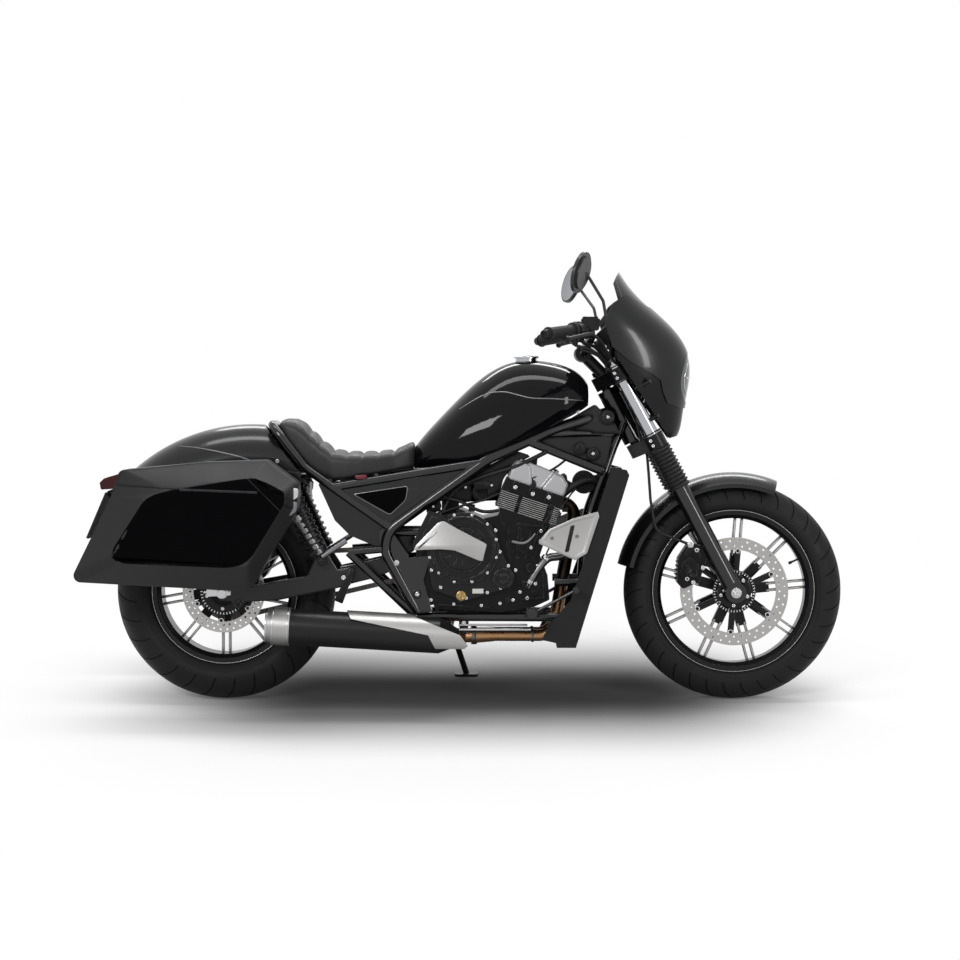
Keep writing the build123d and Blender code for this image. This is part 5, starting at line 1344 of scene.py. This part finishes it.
def make_coils():
    """One helix per shock, its turns worked out round the shock's axis, with its collars and reservoir."""
    for side, hand in HANDS:
        top, foot = Vector((-541, side * SHOCK_Y, 601)), Vector((-469, side * SHOCK_Y, 443))
        run = foot - top
        along = run.normalized()
        side_way = along.cross(Vector((0, 1, 0))).normalized()
        other = along.cross(side_way)
        steps = int(COIL_TURNS * COIL_STEPS)
        route = []
        for number in range(steps + 1):
            turn = number * math.tau / COIL_STEPS
            out = side_way * COIL_RADIUS * math.cos(turn) + other * COIL_RADIUS * math.sin(turn)
            route.append(tuple(top + run * (number / steps) + out))
        tube(route, COIL_WIRE, f"shock_coil_{hand}", "chassis", cover_black)
    parts = []
    for side in SIDES:
        head, foot = (-545, side * SHOCK_Y, 612), (-465, side * SHOCK_Y, 434)
        for low, high, radius in ((0.02, 0.07, 31), (0.93, 0.98, 31), (0.07, 0.30, 24.5)):
            parts.append(knob(between(head, foot, low), between(head, foot, high), radius, 1.5, 36))
        for x, z in ((-545, 620), (-455, 412)):
            parts.append(knob((x, side * 170, z), (x, side * 175, z), 10, 1.2, 6))
    dress(parts, "shock_collars", "chassis", satin_black)
    parts = []
    for side in SIDES:
        parts += [knob((-522, side * 176, 534), (-458, side * 176, 436), 12, 2, 28),
                  knob((-455, side * 176, 428), (-384, side * 168, 474), 8, 1.5, 24),
                  knob((-528, side * 176, 545), (-519, side * 176, 530), 15, 2, 28)]
    dress(parts, "shock_reservoirs", "chassis", dull_steel)


make_coils()


# ---------------------------------------------------------------- controls

ABREAST = 420                   # further out than any flank that is looked at from the side


def on_skin(node, start, towards):
    """Where a line from start meets a CAD piece, upright."""
    piece = nodes[node]
    back = piece.matrix_world.inverted()
    aim = Vector(leaned(*towards)) - Vector(leaned(0, 0, 0))
    met, place, _, _ = piece.ray_cast(back @ Vector(leaned(*start)), back.to_3x3() @ aim)
    return Matrix.Rotation(LEAN, 3, "X") @ (piece.matrix_world @ place) / MM if met else None


def skin_line(name, node, points, radius, body, finish):
    """A bead or seam along both flanks of a CAD piece, through points given in side view."""
    fine = [Vector(point) for point in points]
    for _ in range(3):
        # Cut the corners of the line, three times over, until it runs smooth.
        inner = [start.lerp(end, share) for start, end in zip(fine, fine[1:]) for share in (0.25, 0.75)]
        fine = [fine[0], *inner, fine[-1]]
    for side, hand in HANDS:
        route = [on_skin(node, (x, side * ABREAST, z), (0, -side, 0)) for x, z in fine]
        tube([point for point in route if point], radius, f"{name}_{hand}", body, finish)


def make_ribs(name, start, end, radius, count, body, finish):
    """Raised rubber ribs round a grip, a peg or a pedal, on both sides."""
    def build(side):
        foot, head = [(x, side * y, z) for x, y, z in (start, end)]
        step = 1 / count
        return [knob(between(foot, head, (number + 0.15) * step),
                     between(foot, head, (number + 0.75) * step), radius, 0.6, 20)
                for number in range(count)]
    dress(both_sides(build), name, body, finish)


GRIP_OUTER = (194.7, 417.6, 1064.2)
GRIP_INNER = (264.9, 323, 1075.3)
make_ribs("grip_ribs", GRIP_OUTER, GRIP_INNER, 17.9, 13, "steering", soft_rubber)
make_ribs("footpeg_ribs", (153.5, 208, 268.2), (150.2, 296, 271.8), 15.2, 9, "chassis", soft_rubber)
make_ribs("pedal_ribs", (276, 232, 336.2), (276, 288, 337.9), 9.2, 6, "chassis", soft_rubber)


def make_bar_dress():
    """Grip collars, bar ends, lever balls and pivots, buttons and the sight glasses."""
    def collars(side):
        inner, outer = [Vector((x, side * y, z)) for x, y, z in (GRIP_INNER, GRIP_OUTER)]
        along = (outer - inner).normalized()
        return [knob(inner - along, inner + along * 4, 24, 1.5, 32),
                knob(outer + along * 2, outer + along * 6, 20, 1.5, 32)]
    dress(both_sides(collars), "grip_collars", "steering", soft_rubber)

    def ends(side):
        return [knob((185.6, side * 430, 1062.8), (179, side * 439, 1061.8), 13, 2, 28, 3),
                knob((247, side * 418.4, 1050.2), (242.8, side * 424.8, 1049.3), 8.6, 3, 20)]
    dress(both_sides(ends), "bar_ends", "steering", satin_black)

    def buttons(side):
        parts = []
        for share, rise, reach in ((0.25, 8, 6), (0.25, -9, 7), (0.6, 0, 5), (0.82, 9, 6)):
            middle = between((269, side * 317.9, 1075.6), (292, side * 270, 1075), share)
            middle += Vector((0, 0, rise))
            outwards = Vector((-0.90, -side * 0.434, 0))
            parts.append(knob(middle + outwards * 17, middle + outwards * (22 + reach * 0.5), 5.5, 1.2, 16))
        parts.append(plate([(282, 1046), (300, 1046), (296, 1060), (284, 1060)], side * 262, side * 276,
                           3, 1))
        return parts
    dress(both_sides(buttons), "switch_buttons", "steering", cast_black)
    stop_switch = knob((261, -277, 1088), (256, -274.6, 1088), 6, 1.2, 16)
    dress([stop_switch], "stop_switch", "steering", marker_red)
    glasses = [knob((291, side * 246, 1096), (288.5, side * 246, 1096), 8, 0.8, 24, 1) for side in SIDES]
    dress(glasses, "fluid_glasses", "steering", dull_steel)
    lids = [(300, side * 246 + reach, 1117) for side in SIDES for reach in (-14, 14)]
    bolt_set("fluid_lid_screws", lids, (0, 0, 1), 3.2, 1.6, "steering", bright_steel)
    pivots = [(315, side * 255, 1076) for side in SIDES]
    bolt_set("lever_pivots", pivots, (0, 0, 1), 6.5, 8, "steering", bright_steel)
    riser_x, _, riser_z = fork_place(820, -64)
    clamps = [(riser_x + x, side * 45 + reach, riser_z + 22) for side in SIDES for reach in (-9, 9)
              for x in (-11, 11)]
    bolt_set("riser_bolts", clamps, (-0.47, 0, 0.88), 4.5, 5, "steering", bright_steel)


make_bar_dress()

# columns: name, points along the line, radius
control_lines = [
    ("front_brake_line", [(308, -226, 1072), (345, -190, 1062), (372, -140, 1010), fork_place(640, 30, -78),
                          fork_place(560, -34, -74), fork_place(480, -36, -70)], 4.5),
    ("throttle_cable", [(270, -300, 1054), (262, -292, 1036), (310, -236, 1028), (352, -160, 1008),
                        (396, -84, 960), fork_place(600, 12, -52), fork_place(524, 12, -44)], 3.6),
    ("throttle_return", [(276, -290, 1052), (274, -270, 1026), (322, -214, 1016), (362, -140, 996),
                         (400, -66, 946), fork_place(590, 14, -42), fork_place(524, 14, -34)], 3.6),
    ("clutch_cable_upper", [(308, 226, 1072), (346, 196, 1062), (372, 140, 1010), (404, 76, 950),
                            fork_place(600, 12, 50), fork_place(524, 12, 42)], 4.0),
    ("switch_loom_right", [(290, -268, 1048), (300, -230, 1040), (336, -140, 1036), (372, -70, 990),
                           (410, -40, 940), fork_place(560, 16, -22)], 5.0),
    ("switch_loom_left", [(290, 268, 1048), (300, 230, 1040), (336, 140, 1036), (372, 70, 990),
                          (410, 40, 940), fork_place(560, 16, 22)], 5.0),
]
for name, points, radius in control_lines:
    tube(points, radius, name, "steering", soft_rubber)


def make_clamp_dress():
    """Rings and nuts on the fork clamps, and the stays of the fairing."""
    parts = []
    for up in (474, 522, 696, 744):
        for side in SIDES:
            foot, head = [fork_place(reach, 0, side * FORK_HALF) for reach in (up, up + 3.5)]
            parts.append(knob(foot, head, 33, 1, 40))
    parts.append(knob(fork_place(742, -50), fork_place(756, -50), 18, 2, 6, 3))
    dress(parts, "clamp_rings", "steering", cast_black)
    caps = [knob(fork_place(758, 0, side * FORK_HALF), fork_place(768, 0, side * FORK_HALF), 15, 2, 6, 2)
            for side in SIDES]
    dress(caps, "fork_caps", "steering", dull_steel)
    for side, hand in HANDS:
        pinch = [fork_place(up, -14, side * 143) for up in (490, 506, 712, 728)]
        bolt_set(f"clamp_bolts_{hand}", pinch, (0, side, 0), 5, 4, "steering", bright_steel)
    stay = [(396, 990), (352, 1060), (338, 1050), (372, 980), (392, 930), (420, 900), (470, 905),
            (480, 930), (430, 960)]
    dress([plate(stay, side * 70, side * 76, 6, 1.2) for side in SIDES], "fairing_stays", "steering",
          satin_black)


make_clamp_dress()


def make_mirror_glass():
    """The silvered glass in each mirror, set in its black shell."""
    parts = []
    for side in SIDES:
        let_go()
        bpy.ops.mesh.primitive_circle_add(vertices=56, radius=1, fill_type="NGON")
        glass = bpy.context.object
        facing = Vector((-0.87, -side * 0.42, 0.25)).normalized()
        lifted = Vector((0.28, 0, 0.96))
        upwards = (lifted - facing * lifted.dot(facing)).normalized()
        across = facing.cross(upwards)
        place = Vector((280, side * 388, 1238)) * MM
        turn = Matrix((upwards, across, facing)).transposed().to_4x4()
        glass.data.transform(Matrix.Translation(place) @ turn @ Matrix.Diagonal((54 * MM, 47 * MM, 1, 1)))
        edit(glass)
        select_whole()
        extrude(facing * 1.4 * MM)
        bpy.ops.mesh.inset(thickness=2.2 * MM, depth=-0.5 * MM)
        leave_facing_out()
        parts.append(glass)
    dress(parts, "mirror_faces", "steering", mirror_glass)


make_mirror_glass()


def make_gauge():
    """The round instrument: bezel, dark face and a pale display."""
    middle = Vector((372, 0, 1096))
    facing = Vector((-0.7, 0, 0.714))
    dress([knob(middle, middle + facing * 3, 46, 1.2, 48, 2)], "gauge_bezel", "steering", satin_black)
    dress([knob(middle, middle + facing * 1.6, 33, 0.6, 48)], "gauge_face", "steering", inlay_gloss)
    marks = []
    for number in range(11):
        turn = math.radians(-120 + 24 * number)
        across = Vector((0, math.sin(turn), 0)) + Vector((0.714, 0, 0.7)) * math.cos(turn)
        mark = middle + across * 27
        marks.append(knob(mark + facing * 1.4, mark + facing * 2.0, 1.3, 0.2, 8))
    dress(marks, "gauge_marks", "steering", label_white)


make_gauge()


LAMP_AHEAD = 760                # the headlamp is looked at from here, back along x
LAMP_Z = 945
LAMP_RIM_RADIUS = 57
LAMP_RIM_STEPS = 24


def make_lamp_rims():
    """The bright ring and the bar on the face of the headlamp."""
    rim = []
    for number in range(LAMP_RIM_STEPS + 1):
        turn = math.tau * number / LAMP_RIM_STEPS
        y, rise = LAMP_RIM_RADIUS * math.cos(turn), LAMP_RIM_RADIUS * math.sin(turn)
        rim.append(on_skin("headlamp", (LAMP_AHEAD, y, LAMP_Z + rise), (-1, 0, 0)))
    tube([point for point in rim if point], 1.6, "headlamp_rim", "steering", bright_steel)
    bar = [on_skin("headlamp", (LAMP_AHEAD, y, LAMP_Z), (-1, 0, 0)) for y in (-50, -36, -18, 0, 18, 36, 50)]
    tube([point for point in bar if point], 3.0, "headlamp_bar", "steering", bright_steel)


make_lamp_rims()


# ---------------------------------------------------------------- bodywork details

# The tank's real crease, drawn as a bright steel bead: the bead is a painted highlight along the crease.
skin_line("tank_crease_highlight", "fuel_tank", [(304, 878), (214, 884), (150, 884), (114, 894), (69, 906),
                                       (14, 898), (-58, 853)], 1.8, "chassis", dull_steel)
# The cowl's real seam, drawn as a bright steel bead: the bead is a painted highlight along the seam.
skin_line("cowl_seam_highlight", "tail_cowl", [(-878, 745), (-830, 742), (-784, 735), (-696, 717), (-650, 698)],
          1.8, "chassis", dull_steel)


def make_body_dress():
    """Screws in the cowl, the tank's mount, and the filler cap."""
    for side, hand in HANDS:
        places = [on_skin("tail_cowl", (x, side * ABREAST, z), (0, -side, 0))
                  for x, z in ((-586, 702), (-500, 672))]
        places.append(on_skin("fuel_tank", (286, side * ABREAST, 846), (0, -side, 0)))
        bolt_set(f"body_screws_{hand}", [place for place in places if place], (0, side, 0), 6, 2.5,
                 "chassis", bright_steel)
    top = on_skin("tank_cap", (150, 0, 1300), (0, 0, -1))
    dress([knob(top, top + Vector((0, 0, 2.5)), 25, 1.2, 40, 1)], "cap_rim", "chassis", hard_chrome)
    dress([knob(top, top + Vector((0, 0, 4)), 10, 1.5, 24, 1)], "cap_lock", "chassis", satin_black)
    turns = [math.tau * number / 6 for number in range(6)]
    screws = [top + Vector((20 * math.cos(turn), 20 * math.sin(turn), 2)) for turn in turns]
    bolt_set("cap_screws", screws, (0, 0, 1), 2.6, 1.5, "chassis", bright_steel)


make_body_dress()


def make_cover_inlays():
    """The gloss triangle let into each side cover, inside a bright line."""
    outline = [(-362, 607), (-208, 630), (-214, 591), (-259, 549)]
    middle = (-261, 597)
    wider = [(middle[0] + (x - middle[0]) * 1.05, middle[1] + (z - middle[1]) * 1.07) for x, z in outline]
    edges = [plate(wider, side * 140, side * 143.8, 9, 0.4) for side in SIDES]
    dress(edges, "cover_inlay_edges", "chassis", dull_steel)
    faces = [plate(outline, side * 140, side * 144.6, 8, 0.5) for side in SIDES]
    dress(faces, "cover_inlays", "chassis", inlay_gloss)


make_cover_inlays()


def make_airbox():
    """The black air box between the tank and the engine, and the guard behind the clutch cover."""
    outline = [(-60, 640), (-33, 656), (113, 728), (150, 716), (100, 690), (70, 650), (62, 616),
               (30, 590), (20, 640)]
    dress([plate(outline, side * 66, side * 96, 6, 1.5) for side in SIDES], "airbox_sides", "chassis",
          cover_black)
    guard = [(-250, 500), (-196, 506), (-188, 440), (-232, 424)]
    dress([plate(guard, side * 96, side * 100, 8, 1) for side in SIDES], "pivot_guards", "chassis",
          satin_black)


make_airbox()


def make_panel_knobs():
    """Stepped plugs on the head panels and the ring on each heel plate."""
    def build(side):
        return [knob((293, side * 103.5, 739), (293, side * 107, 739), 12, 1, 28, 2),
                knob((293, side * 104.5, 739), (293, side * 108, 739), 6, 1, 6, 1),
                knob((331, side * 97.5, 724), (331, side * 100.5, 724), 14, 1, 28, 1.5),
                knob((375, side * 73.5, 830), (375, side * 76, 830), 15, 1, 28, 1.5),
                knob((-180, side * 137.5, 317), (-180, side * 141, 317), 14, 1, 28, 1.5)]
    dress(both_sides(build), "panel_plugs", "chassis", cover_black)
    for side, hand in HANDS:
        places = [(331, side * 99, 724), (375, side * 74.5, 830), (-180, side * 139.5, 317)]
        bolt_set(f"plug_bolts_{hand}", places, (0, side, 0), 5, 4, "chassis", bright_steel)


make_panel_knobs()


MUFFLER_RISE = 0.058            # the muffler's axis climbs backwards by this


def make_tip_rings():
    """Rolled rings round the muffler's end cap."""
    rings = []
    # columns: x, length, inner radius, outer radius
    for x, reach, inner, outer in ((-611, 5, 40, 50.5), (-592, 3, 50, 56.4), (-549, 3, 50, 56.4)):
        band = ring(0, -reach / 2, reach / 2, 0, inner, outer, 1, 64)
        place = Vector((x, -215, 233 - MUFFLER_RISE * (x + 613))) * MM
        turned = Matrix.Rotation(MUFFLER_RISE, 4, "Y") @ Matrix.Rotation(math.pi / 2, 4, "Z")
        band.data.transform(Matrix.Translation(place) @ turned)
        rings.append(band)
    dress(rings, "muffler_tip_rings", "chassis", bright_steel)


make_tip_rings()


for name, finish in node_finishes.items():
    node = nodes[name]
    node.data.materials.clear()
    node.data.materials.append(finish)


# ---------------------------------------------------------------- room

WORLD_LEVEL = 0.24
FLOOR_GLOW = 0.22
FLOOR_REACH = (1.6, 1.4)        # where the floor has run into white, along and across
# The shadow under the machine is painted into the floor: its middle, flat stretch, reach and darkest share.
SHADOW_MIDDLE = (0.0, 0.07, 0.0)
SHADOW_FLAT = 0.45              # how far it stays dark each way along the machine
SHADOW_REACH = (1.15, 0.75)
SHADOW_DEPTH = 0.06
FILM_WIDTH = 36
FOCAL_PIXELS = 2716.5
PICTURE_PIXELS = 960
CAMERA_PLACE = (0.002, -7.764, 2.121)   # raised with the lean, so that it looks square on the machine
CAMERA_DIP = 1.69               # degrees further down


def seen_directly(tree):
    """The output that is 1 where the camera sees a surface itself, mirrored or through glass."""
    path = add_node(tree, "LightPath")
    either = add_node(tree, "Math", operation="MAXIMUM")
    all_three = add_node(tree, "Math", operation="MAXIMUM")
    feed(tree, path, "Is Camera Ray", either, 0)
    feed(tree, path, "Is Glossy Ray", either, 1)
    feed(tree, either, "Value", all_three, 0)
    feed(tree, path, "Is Transmission Ray", all_three, 1)
    return all_three


def make_floor():
    """A pale floor with a painted shadow near the machine, running into white further out."""
    let_go()
    bpy.ops.mesh.primitive_plane_add(size=2, location=(0, 6, 0))
    floor = bpy.context.object
    floor.scale = (30, 30, 1)
    bpy.ops.object.transform_apply(location=True, rotation=True, scale=True)
    floor.name = "studio_floor"
    material = bpy.data.materials.new("floor_white")
    material.use_nodes = True
    tree = material.node_tree
    surface = tree.nodes["Principled BSDF"]
    set_inputs(surface, {"Roughness": 0.8, "Specular IOR Level": 0.0, "Emission Color": (1, 1, 1, 1)})
    place = add_node(tree, "TexCoord")
    shrink = add_node(tree, "VectorMath", {1: (1 / FLOOR_REACH[0], 1 / FLOOR_REACH[1], 0)},
                      operation="MULTIPLY")
    reach = add_node(tree, "VectorMath", operation="LENGTH")
    away = add_node(tree, "MapRange", {"From Min": 0.45, "From Max": 1.0}, interpolation_type="SMOOTHSTEP")
    feed(tree, place, "Object", shrink, 0)
    feed(tree, shrink, "Vector", reach, 0)
    feed(tree, reach, "Value", away, "Value")
    # A painted contact shadow: a soft dark oval under the machine, in the floor's colour and in its glow.
    centre = add_node(tree, "VectorMath", {1: SHADOW_MIDDLE}, operation="SUBTRACT")
    folded = add_node(tree, "VectorMath", operation="ABSOLUTE")
    past = add_node(tree, "VectorMath", {1: (SHADOW_FLAT, 0, 0)}, operation="SUBTRACT")
    held = add_node(tree, "VectorMath", operation="MAXIMUM")
    shrunk = (1 / (SHADOW_REACH[0] - SHADOW_FLAT), 1 / SHADOW_REACH[1], 0)
    squeeze = add_node(tree, "VectorMath", {1: shrunk}, operation="MULTIPLY")
    spread = add_node(tree, "VectorMath", operation="LENGTH")
    open_floor = add_node(tree, "MapRange", {"From Min": 0.1, "To Min": SHADOW_DEPTH},
                          interpolation_type="SMOOTHSTEP")
    feed(tree, place, "Object", centre, 0)
    feed(tree, centre, "Vector", folded, 0)
    feed(tree, folded, "Vector", past, 0)
    feed(tree, past, "Vector", held, 0)
    feed(tree, held, "Vector", squeeze, 0)
    feed(tree, squeeze, "Vector", spread, 0)
    feed(tree, spread, "Value", open_floor, "Value")
    paint = add_node(tree, "Mix", data_type="RGBA")
    shaded = add_node(tree, "Mix", {"A": (0.0, 0.0, 0.0, 1), "B": (0.80, 0.80, 0.80, 1)}, data_type="RGBA")
    feed(tree, open_floor, "Result", shaded, "Factor")
    feed(tree, shaded, "Result", paint, "A")
    paint.inputs["B"].default_value = (0, 0, 0, 1)
    feed(tree, away, "Result", paint, "Factor")
    glow = add_node(tree, "MapRange", {"To Min": FLOOR_GLOW, "To Max": 1.0})
    feed(tree, away, "Result", glow, "Value")
    # The glow is dimmed inside the painted shadow too.
    dimmed = add_node(tree, "Math", operation="MULTIPLY")
    feed(tree, glow, "Result", dimmed, 0)
    feed(tree, open_floor, "Result", dimmed, 1)
    seen_so = seen_directly(tree)
    level = add_node(tree, "Math", operation="MULTIPLY")
    seen = add_node(tree, "Mix", {"A": (0.80, 0.80, 0.80, 1)}, data_type="RGBA")
    feed(tree, seen_so, "Value", level, 0)
    feed(tree, dimmed, "Value", level, 1)
    feed(tree, level, "Value", surface, "Emission Strength")
    feed(tree, seen_so, "Value", seen, "Factor")
    feed(tree, paint, "Result", seen, "B")
    feed(tree, seen, "Result", surface, "Base Color")
    floor.data.materials.append(material)


def make_world():
    world = bpy.data.worlds.new("studio")
    bpy.context.scene.world = world
    world.use_nodes = True
    tree = world.node_tree
    back = tree.nodes["Background"]
    back.inputs["Color"].default_value = (1, 1, 1, 1)
    seen_so = seen_directly(tree)
    level = add_node(tree, "MapRange", {"To Min": WORLD_LEVEL, "To Max": 1.0})
    feed(tree, seen_so, "Value", level, "Value")
    feed(tree, level, "Result", back, "Strength")


def add_lamp(name, place, aim, width, height, watts):
    data = bpy.data.lights.new(name, "AREA")
    data.shape = "RECTANGLE"
    data.size = width
    data.size_y = height
    data.energy = watts
    lamp = bpy.data.objects.new(name, data)
    bpy.context.scene.collection.objects.link(lamp)
    lamp.location = place
    lamp.rotation_euler = (Vector(aim) - Vector(place)).to_track_quat("-Z", "Y").to_euler()


def make_camera():
    data = bpy.data.cameras.new("view")
    data.sensor_width = FILM_WIDTH
    data.lens = FILM_WIDTH * FOCAL_PIXELS / PICTURE_PIXELS
    camera = bpy.data.objects.new("view", data)
    bpy.context.scene.collection.objects.link(camera)
    camera.location = CAMERA_PLACE
    camera.rotation_euler = (math.radians(90 - LEAN_DEGREES - CAMERA_DIP), 0, 0)
    bpy.context.scene.camera = camera


make_floor()
make_world()
add_lamp("overhead_softbox", (0.0, 0.2, 3.4), (0, 0, 0.6), 3.6, 0.5, 54)
add_lamp("front_softbox", (-2.4, -4.2, 3.2), (0, 0, 0.5), 2.0, 1.0, 122)
add_lamp("side_strip", (3.4, -3.0, 2.0), (0.4, 0, 0.6), 0.5, 2.2, 55)
add_lamp("back_strip", (0.2, 3.0, 2.8), (0, 0, 0.7), 3.6, 0.5, 55)
make_camera()

scene = bpy.context.scene
scene.view_settings.view_transform = "Standard"
